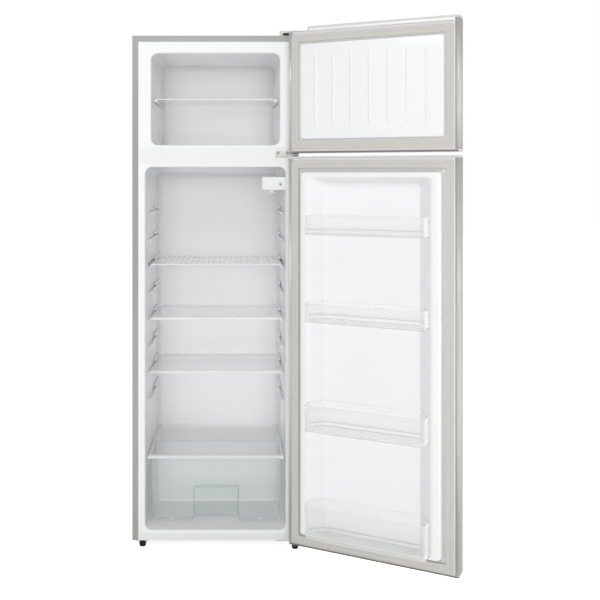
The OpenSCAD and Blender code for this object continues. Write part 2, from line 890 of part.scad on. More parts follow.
module freezer_shelf() {
  plate_shelf(frz_shelf_hw, front_y + frz_shelf_set_back, frz_shelf_z);
}

module glass_shelf_upper() {
  plate_shelf(shelf_hw, shelf_y0, shelf_high_z);
}

module upper_shelf_trim() {
  shelf_trim(shelf_high_z);
}

module glass_shelf_lower() {
  plate_shelf(shelf_hw, shelf_y0, shelf_low_z);
}

module lower_shelf_trim() {
  shelf_trim(shelf_low_z);
}

module crisper_cover() {
  r = frg_back_r - shelf_gap;
  y1 = frg_back - shelf_gap;
  color("lightcyan") along_z(cover_z + lay_gap, cover_z + lay_gap + glass_t)
    polygon(concat([[-shelf_hw, cover_y0], [shelf_hw, cover_y0]],
      arc(shelf_hw - r, y1 - r, r, 0, 90), arc(r - shelf_hw, y1 - r, r, 90, 180)));
}

module crisper_cover_trim() {
  color("white") front_trim(shelf_hw, cover_y0, cover_z + lay_gap);
}

module wire_shelf() {
  z = wire_shelf_z + rod_d / 2 + lay_gap;
  hw = shelf_hw - rod_d / 2;
  y0 = shelf_y0 + rod_d / 2;
  y1 = shelf_y0 + shelf_d - rod_d / 2;
  n = 22;
  color("white") {
    for (s = [-1, 1]) rod([s * hw, y0, z], [s * hw, y1, z], rod_d / 2);
    for (y = [y0, y1]) rod([-hw, y, z], [hw, y, z], rod_d / 2);
    for (x = [-hw, hw], y = [y0, y1]) translate([x, y, z]) sphere(r = rod_d / 2);
    rod([-hw, (y0 + y1) / 2, z - 1], [hw, (y0 + y1) / 2, z - 1], rod_d / 2 - 1);
    for (i = [1:n]) rod([-hw + i * 2 * hw / (n + 1), y0, z + 1],
      [-hw + i * 2 * hw / (n + 1), y1, z + 1], wire_d / 2);
  }
}

// ---- crisper ----
// Outline of the drawer from the front, its walls drawn in by e and its top raised by up
module crisper_outline(e, up) {
  top_hw = shelf_hw - 3 - e;
  low_hw = top_hw - crisper_draft;
  z0 = crisper_z0 + e;
  z1 = crisper_z0 + crisper_h + up;
  r = crisper_r - e;
  polygon(concat([[top_hw, z1], [-top_hw, z1]],
    arc(r - low_hw, z0 + r, r, 180, 270), arc(low_hw - r, z0 + r, r, 270, 360)));
}

module crisper_drawer() {
  y0 = front_y + crisper_set_back;
  y1 = step_y - crisper_back_gap;
  color("lightcyan") difference() {
    along_y(y0, y1) crisper_outline(0, 0);
    difference() {
      along_y(y0 + crisper_t, y1 - crisper_t) crisper_outline(crisper_t, 1);
      block([-grip_w / 2 - crisper_t, grip_w / 2 + crisper_t], [y0, y0 + grip_d + crisper_t],
        [frg_z0, crisper_z0 + grip_h + crisper_t]);
    }
    block([-grip_w / 2, grip_w / 2], [y0 - 1, y0 + grip_d], [frg_z0 - 1, crisper_z0 + grip_h]);
  }
}

// ---- thermostat and lamp ----
module thermostat_housing() {
  wall = box_t;
  color("white") intersection() {
    difference() {
      block([box_x0, half_w], [box_y, box_y + box_d], [box_z1 - box_h, box_z1]);
      block([box_x0 + wall, half_w + 1], [box_y + wall, box_y + box_d - wall],
        [box_z1 - box_h + wall, box_z1 - wall]);
      translate([switch_x, box_y, switch_z]) rotate([90, 0, 0])
        cylinder(r = switch_r + run_gap, h = 20, center = true);
      translate([knob_x, knob_y, box_z1 - box_h])
        cylinder(r = shaft_r + run_gap, h = 20, center = true);
      block([box_x0 - 1, box_x0 + wall + 1], lens_y, lens_z);
    }
    fridge_room(0);
  }
}

module lamp_lens() {
  color("white", 0.5) block([box_x0, box_x0 + box_t], lens_y, lens_z);
}

module lamp_bulb() {
  color("lightyellow") translate([box_x0 + 18, 0, box_z1 - 15]) rotate([-90, 0, 0]) {
    translate([0, 0, box_y + 64]) cylinder(r = 8, h = box_d - 64 - box_t);
    translate([0, 0, box_y + 44]) cylinder(r = 6.5, h = 20);
    translate([0, 0, box_y + 44]) sphere(r = 9);
  }
}

module thermostat_knob() {
  color("white") translate([knob_x, knob_y, box_z1 - box_h]) {
    translate([0, 0, -knob_h - 0.5]) cylinder(r = knob_r, h = knob_h);
    translate([0, 0, -knob_h - 2.5]) block([-2, 2], [-knob_r + 3, knob_r - 3], [0, 3]);
    translate([0, 0, -1]) cylinder(r = shaft_r, h = 9);
  }
}

module light_switch() {
  color("gray") translate([switch_x, box_y, switch_z]) rotate([90, 0, 0]) {
    translate([0, 0, -8]) cylinder(r = switch_r, h = switch_out + 8);
    translate([0, 0, -10]) cylinder(r = switch_r + 2, h = 4);
  }
}

// ---- doors ----
module swung() {
  translate([pin_x, pin_y, 0]) rotate([0, 0, open_angle]) translate([-pin_x, -pin_y, 0]) children();
}

module door_plan(e) {
  r = door_edge_r - e;
  polygon(concat([[-door_hw + e, inner_y - e], [-door_hw + e, outer_y + door_edge_r]],
    arc(-door_hw + door_edge_r, outer_y + door_edge_r, r, 180, 270),
    arc(door_hw - door_edge_r, outer_y + door_edge_r, r, 270, 360),
    [[door_hw - e, inner_y - e]]));
}

module hinge_notch(grow) {
  block([door_hw - notch_w - grow, door_hw + 5], [outer_y - 5, inner_y + 5],
    [notch_z - grow, upper_z1 + 5]);
}

module door_skin(z0, z1) {
  color("silver") difference() {
    along_z(z0 + cap_h, z1 - cap_h) door_plan(0);
    along_z(z0, z1) door_plan(sheet_t);
    block([-door_hw + return_w, door_hw - return_w], [inner_y - 5, inner_y + 1], [z0, z1]);
    children();
  }
}

module bush(z, up) {
  translate([pin_x, pin_y, up ? z : z - bush_len]) cylinder(r = pin_r + 4, h = bush_len);
}

module bush_hole(z) {
  translate([pin_x, pin_y, z - bush_len + 2]) cylinder(r = pin_r + run_gap, h = 2 * bush_len - 4);
}

module freezer_cap_solid() {
  along_z(upper_z0, upper_z0 + cap_h) door_plan(0);
  bush(upper_z0, true);
  difference() {
    along_z(upper_z1 - cap_h, upper_z1) door_plan(0);
    hinge_notch(0);
  }
  intersection() {
    along_z(notch_z - notch_floor, upper_z1) door_plan(0);
    difference() {
      hinge_notch(notch_floor);
      hinge_notch(0);
    }
  }
  bush(notch_z, false);
}

module freezer_door_caps() {
  color("silver") swung() difference() {
    freezer_cap_solid();
    bush_hole(upper_z0);
    bush_hole(notch_z);
  }
}

module fridge_cap_solid() {
  along_z(lower_z0, lower_z0 + cap_h) door_plan(0);
  bush(lower_z0, true);
  along_z(lower_z1 - cap_h, lower_z1) door_plan(0);
  bush(lower_z1, false);
}

module fridge_door_caps() {
  color("silver") swung() difference() {
    fridge_cap_solid();
    bush_hole(lower_z0);
    bush_hole(lower_z1);
  }
}

module freezer_door_skin() {
  swung() door_skin(upper_z0, upper_z1) hinge_notch(notch_floor);
}

module fridge_door_skin() {
  swung() door_skin(lower_z0, lower_z1);
}

module door_gasket(z0, z1) {
  color("gainsboro") along_y(inner_y, front_y - gasket_gap) difference() {
    rounded([-door_hw + gasket_edge, door_hw - gasket_edge],
      [z0 + gasket_edge, z1 - gasket_edge], 6);
    rounded([-door_hw + gasket_edge + gasket_w, door_hw - gasket_edge - gasket_w],
      [z0 + gasket_edge + gasket_w, z1 - gasket_edge - gasket_w], 3);
  }
}

module freezer_door_gasket() {
  swung() door_gasket(upper_z0, upper_z1 - gasket_top_drop);
}

module fridge_door_gasket() {
  swung() door_gasket(lower_z0, lower_z1);
}

module liner_plate(z0, z1) {
  block([-door_hw + return_w, door_hw - return_w], [inner_y - liner_t, inner_y],
    [z0 + cap_h, z1 - cap_h]);
}

// Raised panel of the freezer door liner, drawn in by e
module freezer_panel(e) {
  edge = gasket_edge + gasket_w + 3 + e;
  along_y(inner_y - liner_t - 1, inner_y + panel_rise - e)
    rounded([-door_hw + edge, door_hw - edge],
      [upper_z0 + edge, upper_z1 - gasket_top_drop - edge], 8);
}

module freezer_door_liner() {
  edge = gasket_edge + gasket_w + 3;
  rib_z0 = upper_z0 + 82;
  rib_z1 = upper_z1 - gasket_top_drop - 52;
  color("white") swung() {
    difference() {
      union() {
        liner_plate(upper_z0, upper_z1);
        intersection() {
          freezer_panel(0);
          block([-door_hw, door_hw], [inner_y - liner_t, inner_y + 50], [0, top_z + 50]);
        }
      }
      freezer_panel(liner_t);
      hinge_notch(notch_floor);
    }
    for (i = [0:rib_count - 1]) intersection() {
      rod([(i - (rib_count - 1) / 2) * rib_pitch, inner_y + panel_rise - 1, rib_z0],
        [(i - (rib_count - 1) / 2) * rib_pitch, inner_y + panel_rise - 1, rib_z1], 4);
      block([-door_hw + edge, door_hw - edge], [inner_y + panel_rise - 1, front_y], [0, top_z]);
    }
  }
}

module freezer_door_foam() {
  color("khaki") swung() difference() {
    union() {
      intersection() {
        along_z(upper_z0 + cap_h, upper_z1 - cap_h) door_plan(sheet_t);
        block([-door_hw, door_hw], [outer_y, inner_y - liner_t], [0, top_z + 50]);
      }
      freezer_panel(liner_t);
    }
    hinge_notch(notch_floor);
    bush(upper_z0, true);
    bush(notch_z, false);
  }
}

// Raised frame of the fridge door liner, drawn in by e
module rim_block(e) {
  a = rim_edge + e;
  b = rim_edge + rim_slope + e;
  intersection() {
    along_z(lower_z0, lower_z1) polygon([[-door_hw + a, inner_y - liner_t - 1],
      [door_hw - a, inner_y - liner_t - 1], [door_hw - b, inner_y + rim_h - e],
      [-door_hw + b, inner_y + rim_h - e]]);
    along_x(-door_hw, door_hw) polygon([[inner_y - liner_t - 1, lower_z0 + a],
      [inner_y + rim_h - e, lower_z0 + b], [inner_y + rim_h - e, lower_z1 - b],
      [inner_y - liner_t - 1, lower_z1 - a]]);
  }
}

// Recess in that frame, grown by e; its sides slope at 45 degrees
module recess(e) {
  hw = door_hw - rim_inner + e;
  low = recess_d + rim_h;
  top = rim_inner - 8 - e;
  foot = recess_foot - e;
  intersection() {
    along_z(lower_z0, lower_z1) polygon([[-hw, inner_y + rim_h + 5], [-hw, inner_y + rim_h],
      [-hw + low, inner_y - recess_d - e], [hw - low, inner_y - recess_d - e],
      [hw, inner_y + rim_h], [hw, inner_y + rim_h + 5]]);
    along_x(-door_hw, door_hw) polygon([[inner_y + rim_h + 5, lower_z0 + foot],
      [inner_y - recess_d - e, lower_z0 + foot + recess_slope], [inner_y - recess_d - e, lower_z1 - top - 10],
      [inner_y + rim_h, lower_z1 - top], [inner_y + rim_h + 5, lower_z1 - top]]);
  }
}

module fridge_door_liner() {
  color("white") swung() {
    difference() {
      union() {
        liner_plate(lower_z0, lower_z1);
        intersection() {
          rim_block(0);
          block([-door_hw, door_hw], [inner_y - liner_t, inner_y + 50], [0, top_z]);
        }
        intersection() {
          recess(liner_t);
          block([-door_hw, door_hw], [outer_y, inner_y + rim_h], [0, top_z]);
        }
      }
      recess(0);
      difference() {
        rim_block(liner_t);
        recess(liner_t);
      }
    }
    intersection() {
      recess(liner_t / 2);
      for (z = bin_floors, s = [-1, 1]) scale([s, 1, 1])
        block([door_hw - rim_inner - 26, door_hw], [inner_y - recess_d, inner_y + rim_h - 3],
          [lower_z0 + z - 8.3, lower_z0 + z - 0.3]);
    }
  }
}

module fridge_door_foam() {
  color("khaki") swung() difference() {
    union() {
      intersection() {
        along_z(lower_z0 + cap_h, lower_z1 - cap_h) door_plan(sheet_t);
        block([-door_hw, door_hw], [outer_y, inner_y - liner_t], [0, top_z]);
      }
      rim_block(liner_t);
    }
    recess(liner_t);
    bush(lower_z0, true);
    bush(lower_z1, false);
  }
}

// Outline of a bin seen from above, drawn in by e
module bin_plan(e) {
  gap = 2;
  hw = door_hw - rim_inner - gap - e;
  low = rim_h + recess_d - 4;
  y_back = inner_y - recess_d + 4 + e;
  y_front = inner_y + bin_reach - e;
  r = 14 - e;
  k = e * 0.414;
  polygon(concat([[-hw + low - k, y_back], [hw - low + k, y_back],
    [hw, inner_y + rim_h + k]],
    arc(hw - r, y_front - r, r, 0, 90), arc(r - hw, y_front - r, r, 90, 180),
    [[-hw, inner_y + rim_h + k]]));
}

module door_bin(i) {
  z0 = lower_z0 + bin_floors[i];
  color("lightcyan") swung() difference() {
    along_z(z0, z0 + bin_heights[i]) bin_plan(0);
    along_z(z0 + bin_t, z0 + bin_heights[i] + 1) bin_plan(bin_t);
  }
}

module door_bin_1() {
  door_bin(0);
}

module door_bin_2() {
  door_bin(1);
}

module door_bin_3() {
  door_bin(2);
}

module door_bin_4() {
  door_bin(3);
}

// ---- drawing ----
outer_shell();
back_panel();
base_pan();
step_panel();
cabinet_foam();
freezer_liner();
fridge_liner();
mullion_cover();
bottom_trim();
freezer_evaporator();
fridge_evaporator();
condenser();
condenser_clips();
compressor();
compressor_grommets();
starter_relay();
filter_drier();
pipework();
drip_tray();
drain_tube();
cord_gland();
top_hinge();
top_hinge_cover();
middle_hinge();
bottom_hinge();
hinge_pins();
hinge_screws();
roller_brackets();
thermostat_housing();
lamp_lens();
lamp_bulb();
foot_left();
foot_right();
roller_left();
roller_right();
freezer_shelf();
wire_shelf();
glass_shelf_upper();
upper_shelf_trim();
glass_shelf_lower();
lower_shelf_trim();
crisper_cover();
crisper_cover_trim();
crisper_drawer();
thermostat_knob();
light_switch();
freezer_door_skin();
freezer_door_caps();
freezer_door_liner();
freezer_door_gasket();
freezer_door_foam();
fridge_door_skin();
fridge_door_caps();
fridge_door_liner();
fridge_door_gasket();
fridge_door_foam();
door_bin_1();
door_bin_2();
door_bin_3();
door_bin_4();
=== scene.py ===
# %% [markdown]
# # A refrigerator with its doors standing open
# The design is already packed: sizes, joints and every working piece come in as a fixed frame.
# This lesson adds the looks. Each cell makes one piece or one finish, rides it on the body that
# it moves with, and prints what it made.

# %% Load the frame
import bpy
import bmesh
import json
import numpy as np
from math import cos, degrees, pi, radians, sin, tan
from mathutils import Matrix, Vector


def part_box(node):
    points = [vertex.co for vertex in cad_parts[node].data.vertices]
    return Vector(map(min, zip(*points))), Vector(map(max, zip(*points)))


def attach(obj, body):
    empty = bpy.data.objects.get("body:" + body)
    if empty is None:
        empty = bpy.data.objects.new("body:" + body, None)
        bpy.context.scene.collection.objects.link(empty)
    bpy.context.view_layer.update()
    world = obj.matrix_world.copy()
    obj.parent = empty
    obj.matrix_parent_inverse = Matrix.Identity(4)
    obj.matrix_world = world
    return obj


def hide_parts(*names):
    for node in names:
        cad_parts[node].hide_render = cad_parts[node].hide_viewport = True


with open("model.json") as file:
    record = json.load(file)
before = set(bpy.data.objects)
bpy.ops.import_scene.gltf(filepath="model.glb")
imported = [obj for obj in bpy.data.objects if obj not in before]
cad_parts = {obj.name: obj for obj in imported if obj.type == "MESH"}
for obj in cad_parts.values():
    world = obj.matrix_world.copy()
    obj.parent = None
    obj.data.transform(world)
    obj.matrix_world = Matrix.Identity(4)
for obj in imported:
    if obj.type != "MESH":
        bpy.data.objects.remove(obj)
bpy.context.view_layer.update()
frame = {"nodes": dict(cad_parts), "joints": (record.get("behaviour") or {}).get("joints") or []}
nodes = frame["nodes"]
joints = {joint["name"]: joint for joint in frame["joints"]}
MM = 0.001

# %% [markdown]
# ## Where things are
# Every place is read from the frame, so the looks follow the design if a size changes.
# The doors are drawn shut, where their edges line up with X, Y and Z, and are then turned
# about the hinge pin by the angle at which they stand open.

# %% Measures taken from the frame
shell_low, shell_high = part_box("outer_shell")
HALF_W = shell_high.x
FRONT = shell_low.y
PIN = Vector(joints["fridge_door_hinge"]["pos_m"])
OPEN = -radians(joints["fridge_door_hinge"]["range_deg"][0])


def corners(node):
    """All the points of a CAD node's mesh."""
    return np.array([v.co for v in nodes[node].data.vertices])


def turned(points, angle):
    """Points turned about the hinge pin, seen from above."""
    c, s = cos(angle), sin(angle)
    x, y = points[:, 0] - PIN.x, points[:, 1] - PIN.y
    return np.column_stack([PIN.x + c * x - s * y, PIN.y + s * x + c * y, points[:, 2]])


def shut_box(node):
    """A door piece's box while the door is shut."""
    points = turned(corners(node), -OPEN)
    return Vector(points.min(0)), Vector(points.max(0))


print("half width", round(HALF_W, 4), "open angle", round(degrees(OPEN), 1))

# %% [markdown]
# ## Small helpers for shader nodes
# Materials and the studio use the same few nodes again and again, so each has a short function.


# %% Helpers for node trees
def add_group_socket(tree, way, kind, name, value=None):
    """A named input or output on a node group."""
    socket = tree.interface.new_socket(name, in_out=way, socket_type="NodeSocket" + kind)
    if value is not None:
        socket.default_value = value
    return socket


def math_node(tree, operation, a, b, clamp=False):
    """A Math node; a and b are sockets or numbers."""
    node = tree.nodes.new("ShaderNodeMath")
    node.operation = operation
    node.use_clamp = clamp
    for slot, value in zip(node.inputs, (a, b)):
        if isinstance(value, (int, float)):
            slot.default_value = value
        else:
            tree.links.new(value, slot)
    return node.outputs[0]


def mix_colour(tree, factor, a, b, blend="MIX"):
    """A colour mix; each value is a socket, a number or a colour."""
    node = tree.nodes.new("ShaderNodeMix")
    node.data_type = "RGBA"
    node.blend_type = blend
    for slot, value in ((node.inputs[0], factor), (node.inputs[6], a), (node.inputs[7], b)):
        if isinstance(value, (int, float)):
            slot.default_value = value
        elif isinstance(value, tuple):
            slot.default_value = value if len(value) == 4 else (*value, 1)
        else:
            tree.links.new(value, slot)
    return node.outputs[2]

# %% [markdown]
# ## Camera
# A long lens at chest height, straight on. The lens is shifted down and sideways, so upright
# edges stay upright, as an architect's camera does it.

# %% Camera
camera_data = bpy.data.cameras.new("camera")
camera_data.lens = 52.42
camera_data.sensor_width = 36.0
camera_data.shift_x = 0.1017
camera_data.shift_y = -0.2123
camera = bpy.data.objects.new("camera", camera_data)
camera.location = (0.078, FRONT - 2.89, 1.239)
camera.rotation_euler = (radians(90), 0, 0)
bpy.context.scene.collection.objects.link(camera)
bpy.context.scene.camera = camera
print("camera at", tuple(round(v, 3) for v in camera.location))

# %% [markdown]
# ## Floor and light
# The product stands in an even white studio: a pale floor that runs out to a white world, one
# large soft light above the camera, and a weaker one at each side to shape the edges.


# %% Floor and light
def plain_mesh(name, verts, faces):
    """A mesh object from points and faces."""
    mesh = bpy.data.meshes.new(name)
    mesh.from_pydata([tuple(v) for v in verts], [], faces)
    mesh.update()
    thing = bpy.data.objects.new(name, mesh)
    bpy.context.scene.collection.objects.link(thing)
    return thing


FLOOR_HALF = 14.0
floor = plain_mesh("floor", [(-FLOOR_HALF, -FLOOR_HALF, 0), (FLOOR_HALF, -FLOOR_HALF, 0),
                             (FLOOR_HALF, FLOOR_HALF, 0), (-FLOOR_HALF, FLOOR_HALF, 0)],
                   [(0, 1, 2, 3)])
floor_paint = bpy.data.materials.new("studio_floor")
floor_paint.use_nodes = True
floor_paint.node_tree.nodes["Principled BSDF"].inputs["Base Color"].default_value = (0.93, 0.93, 0.93, 1)
floor_paint.node_tree.nodes["Principled BSDF"].inputs["Roughness"].default_value = 0.8
floor_paint.node_tree.nodes["Principled BSDF"].inputs["Emission Color"].default_value = (1, 1, 1, 1)
FLOOR_GLOW = 0.75
floor_glow = math_node(floor_paint.node_tree, "MULTIPLY",
                       floor_paint.node_tree.nodes.new("ShaderNodeLightPath").outputs["Is Camera Ray"], FLOOR_GLOW)
floor_paint.node_tree.links.new(floor_glow,
                                floor_paint.node_tree.nodes["Principled BSDF"].inputs["Emission Strength"])
floor.data.materials.append(floor_paint)

world = bpy.data.worlds.new("studio")
bpy.context.scene.world = world
world.use_nodes = True
world.node_tree.nodes["Background"].inputs["Color"].default_value = (1, 1, 1, 1)
air = world.node_tree
seen = air.nodes.new("ShaderNodeLightPath").outputs["Is Camera Ray"]
level = air.nodes.new("ShaderNodeMapRange")
level.inputs["To Min"].default_value = 0.36
level.inputs["To Max"].default_value = 1.0
air.links.new(seen, level.inputs["Value"])
air.links.new(level.outputs[0], air.nodes["Background"].inputs["Strength"])
bpy.context.scene.view_settings.view_transform = "Standard"


def soft_light(name, place, aim, width, height, power, mirrored=True):
    """A rectangular area light at place that points at aim; glossy faces may mirror it or not."""
    data = bpy.data.lights.new(name, "AREA")
    data.shape = "RECTANGLE"
    data.size = width
    data.size_y = height
    data.energy = power
    light = bpy.data.objects.new(name, data)
    light.location = place
    light.rotation_euler = (Vector(aim) - Vector(place)).to_track_quat("-Z", "Y").to_euler()
    light.visible_glossy = mirrored
    bpy.context.scene.collection.objects.link(light)


soft_light("key", (-0.5, -3.3, 3.4), (0, 0, 0.8), 2.8, 1.4, 32)
soft_light("front_fill", (0.0, -4.4, 1.4), (0, 0, 0.9), 2.4, 1.8, 64, mirrored=False)
soft_light("side_fill", (3.2, -1.0, 1.2), (0.7, -0.5, 0.9), 1.2, 2.4, 40)
soft_light("rim", (-2.4, 1.0, 1.8), (0, 0, 1.0), 1.2, 1.8, 5)
print("floor, world and four lights")

# %% [markdown]
# ## Shared surface effects
# Real plastic and paint are never one flat value: the colour drifts, the gloss is uneven and a
# fine grain breaks up the highlight. That belongs to many finishes, so it is a node group with
# named inputs. Each material places it with its own values.


# %% The surface_drift group
drift = bpy.data.node_groups.new("surface_drift", "ShaderNodeTree")
for kind, name, value in (("Color", "Color", (0.8, 0.8, 0.8, 1)), ("Float", "Colour drift", 0.05),
                          ("Float", "Drift scale", 6.0), ("Float", "Roughness", 0.4),
                          ("Float", "Roughness drift", 0.08), ("Float", "Grain scale", 900.0),
                          ("Float", "Grain height", 0.05), ("Float", "Stretch", 1.0)):
    add_group_socket(drift, "INPUT", kind, name, value)
for kind, name in (("Color", "Color"), ("Float", "Roughness"), ("Vector", "Normal")):
    add_group_socket(drift, "OUTPUT", kind, name)
inside = drift.nodes.new("NodeGroupInput").outputs
outside = drift.nodes.new("NodeGroupOutput").inputs
place = drift.nodes.new("ShaderNodeTexCoord").outputs["Object"]
squeeze = drift.nodes.new("ShaderNodeCombineXYZ")
squeeze.inputs[0].default_value = 1.0
squeeze.inputs[1].default_value = 1.0
drift.links.new(inside["Stretch"], squeeze.inputs[2])
stretched = drift.nodes.new("ShaderNodeVectorMath")
stretched.operation = "MULTIPLY"
drift.links.new(place, stretched.inputs[0])
drift.links.new(squeeze.outputs[0], stretched.inputs[1])
clouds = drift.nodes.new("ShaderNodeTexNoise")
clouds.inputs["Detail"].default_value = 4.0
drift.links.new(stretched.outputs[0], clouds.inputs["Vector"])
drift.links.new(inside["Drift scale"], clouds.inputs["Scale"])
grain = drift.nodes.new("ShaderNodeTexNoise")
grain.inputs["Detail"].default_value = 2.0
drift.links.new(stretched.outputs[0], grain.inputs["Vector"])
drift.links.new(inside["Grain scale"], grain.inputs["Scale"])
swing_value = math_node(drift, "SUBTRACT", clouds.outputs["Fac"], 0.5)
shade = math_node(drift, "MULTIPLY_ADD", swing_value, inside["Colour drift"])
drift.nodes[-1].inputs[2].default_value = 1.0
shaded = drift.nodes.new("ShaderNodeVectorMath")
shaded.operation = "SCALE"
drift.links.new(inside["Color"], shaded.inputs[0])
drift.links.new(shade, shaded.inputs["Scale"])
drift.links.new(shaded.outputs[0], outside["Color"])
rough_drift = math_node(drift, "MULTIPLY", swing_value, inside["Roughness drift"])
grain_drift = math_node(drift, "MULTIPLY", math_node(drift, "SUBTRACT", grain.outputs["Fac"], 0.5),
                        inside["Roughness drift"])
rough_sum = math_node(drift, "ADD", rough_drift, grain_drift)
drift.links.new(math_node(drift, "ADD", rough_sum, inside["Roughness"], clamp=True), outside["Roughness"])
bump = drift.nodes.new("ShaderNodeBump")
bump.inputs["Distance"].default_value = 0.0004
drift.links.new(grain.outputs["Fac"], bump.inputs["Height"])
drift.links.new(inside["Grain height"], bump.inputs["Strength"])
drift.links.new(bump.outputs[0], outside["Normal"])
print("surface_drift:", len(drift.nodes), "nodes")

# %% [markdown]
# Dirt and rubbing show first where two faces meet. The Bevel node finds those edges without
# touching the mesh, by comparing the true normal with a rounded one, so a second group turns
# that difference into a mask.

# %% The edge_mask group
edges = bpy.data.node_groups.new("edge_mask", "ShaderNodeTree")
add_group_socket(edges, "INPUT", "Float", "Breakup scale", 60.0)
add_group_socket(edges, "INPUT", "Float", "Strength", 1.0)
add_group_socket(edges, "OUTPUT", "Float", "Mask")
inside = edges.nodes.new("NodeGroupInput").outputs
outside = edges.nodes.new("NodeGroupOutput").inputs
rounded = edges.nodes.new("ShaderNodeBevel")
rounded.samples = 4
rounded.inputs["Radius"].default_value = 0.0025
true_normal = edges.nodes.new("ShaderNodeNewGeometry")
compare = edges.nodes.new("ShaderNodeVectorMath")
compare.operation = "DOT_PRODUCT"
edges.links.new(rounded.outputs[0], compare.inputs[0])
edges.links.new(true_normal.outputs["Normal"], compare.inputs[1])
sharpness = math_node(edges, "SUBTRACT", 1.0, compare.outputs["Value"])
speckle = edges.nodes.new("ShaderNodeTexNoise")
edges.links.new(edges.nodes.new("ShaderNodeTexCoord").outputs["Object"], speckle.inputs["Vector"])
edges.links.new(inside["Breakup scale"], speckle.inputs["Scale"])
broken = math_node(edges, "MULTIPLY", sharpness, speckle.outputs["Fac"])
scaled = math_node(edges, "MULTIPLY", broken, inside["Strength"])
edges.links.new(math_node(edges, "MULTIPLY", scaled, 6.0, clamp=True), outside["Mask"])
print("edge_mask:", len(edges.nodes), "nodes")


# %% [markdown]
# ## Finishes
# One function lays out the nodes that every finish shares: drift feeds the colour, roughness and
# normal of a Principled shader, and worn edges move the colour towards a second one. What is the
# same all over, such as the index of refraction, is set on the shader's own sockets.

# %% The finish function
materials = {}


def finish_of(name, colour, roughness, colour_drift=0.05, drift_scale=6.0, roughness_drift=0.08,
              grain_scale=900.0, grain_height=0.05, stretch=1.0, edge_colour=None, edge_strength=0.6,
              **fixed):
    """A finish: Principled shader fed by surface_drift, with worn edges if edge_colour is given."""
    made = bpy.data.materials.new(name)
    made.use_nodes = True
    tree = made.node_tree
    shader = tree.nodes["Principled BSDF"]
    group = tree.nodes.new("ShaderNodeGroup")
    group.node_tree = drift
    for socket, value in (("Color", (*colour, 1)), ("Colour drift", colour_drift),
                          ("Drift scale", drift_scale), ("Roughness", roughness),
                          ("Roughness drift", roughness_drift), ("Grain scale", grain_scale),
                          ("Grain height", grain_height), ("Stretch", stretch)):
        group.inputs[socket].default_value = value
    tint = group.outputs["Color"]
    if edge_colour:
        mask = tree.nodes.new("ShaderNodeGroup")
        mask.node_tree = edges
        mask.inputs["Strength"].default_value = edge_strength
        tint = mix_colour(tree, mask.outputs["Mask"], tint, edge_colour)
    tree.links.new(tint, shader.inputs["Base Color"])
    tree.links.new(group.outputs["Roughness"], shader.inputs["Roughness"])
    tree.links.new(group.outputs["Normal"], shader.inputs["Normal"])
    for socket, value in fixed.items():
        shader.inputs[socket.replace("_", " ")].default_value = value
    materials[name] = made
    return made


# %% Plastics, paints and metals
liner_white = finish_of("liner_white", (0.925, 0.93, 0.935), 0.28, 0.03, 3.0, 0.06, 420, 0.02,
                        Coat_Weight=0.6, Coat_Roughness=0.07)
moulded_white = finish_of("moulded_white", (0.86, 0.865, 0.86), 0.28, 0.03, 9.0, 0.06, 1200, 0.08,
                          edge_colour=(0.95, 0.95, 0.95), edge_strength=0.3)
silver_paint = finish_of("silver_paint", (0.47, 0.47, 0.46), 0.36, 0.06, 4.0, 0.10, 1600, 0.12,
                         edge_colour=(0.60, 0.60, 0.59), edge_strength=0.5, Metallic=0.5,
                         Coat_Weight=0.4, Coat_Roughness=0.18)
door_paint = finish_of("door_paint", (0.70, 0.695, 0.675), 0.34, 0.06, 4.0, 0.10, 1600, 0.12,
                       edge_colour=(0.82, 0.82, 0.80), edge_strength=0.5, Metallic=0.35,
                       Coat_Weight=0.4, Coat_Roughness=0.16)
cap_grey = finish_of("cap_grey", (0.68, 0.68, 0.66), 0.42, 0.05, 10.0, 0.08, 1500, 0.16,
                     edge_colour=(0.78, 0.78, 0.76), edge_strength=0.5)
galvanised = finish_of("galvanised", (0.50, 0.52, 0.54), 0.42, 0.22, 38.0, 0.16, 700, 0.05,
                       edge_colour=(0.72, 0.72, 0.74), Metallic=0.85)
zinc = finish_of("zinc_plate", (0.66, 0.66, 0.65), 0.30, 0.14, 30.0, 0.12, 900, 0.06,
                 edge_colour=(0.82, 0.82, 0.82), Metallic=0.9)
plated_white = finish_of("plated_white", (0.80, 0.80, 0.78), 0.34, 0.08, 30.0, 0.10, 900, 0.06,
                         edge_colour=(0.70, 0.70, 0.69), Metallic=0.3)
pin_steel = finish_of("pin_steel", (0.10, 0.10, 0.10), 0.38, 0.2, 30.0, 0.12, 900, 0.06,
                      edge_colour=(0.3, 0.3, 0.3), Metallic=0.8)
# Painted shade: the dark strip under the seal of each door takes this colour.
shade_line_grey = finish_of("shade_line_grey", (0.20, 0.19, 0.175), 0.5, 0.08, 9.0, 0.10, 900, 0.1)
switch_grey = finish_of("switch_grey", (0.40, 0.40, 0.40), 0.42, 0.08, 14.0, 0.08, 1300, 0.12)
foam_cream = finish_of("foam_cream", (0.78, 0.70, 0.46), 0.85, 0.16, 40.0, 0.05, 500, 0.6)
bare_aluminium = finish_of("bare_aluminium", (0.78, 0.79, 0.80), 0.34, 0.10, 20.0, 0.12, 900, 0.06,
                           Metallic=1.0)
coil_black = finish_of("coil_black", (0.018, 0.018, 0.019), 0.38, 0.25, 20.0, 0.12, 900, 0.10,
                       edge_colour=(0.06, 0.06, 0.06), Coat_Weight=0.2)
enamel_black = finish_of("enamel_black", (0.014, 0.014, 0.015), 0.26, 0.3, 9.0, 0.10, 500, 0.06,
                         edge_colour=(0.05, 0.05, 0.05), Coat_Weight=0.5)
black_moulding = finish_of("black_moulding", (0.022, 0.022, 0.023), 0.48, 0.2, 12.0, 0.1, 1400, 0.25,
                           edge_colour=(0.06, 0.06, 0.06))
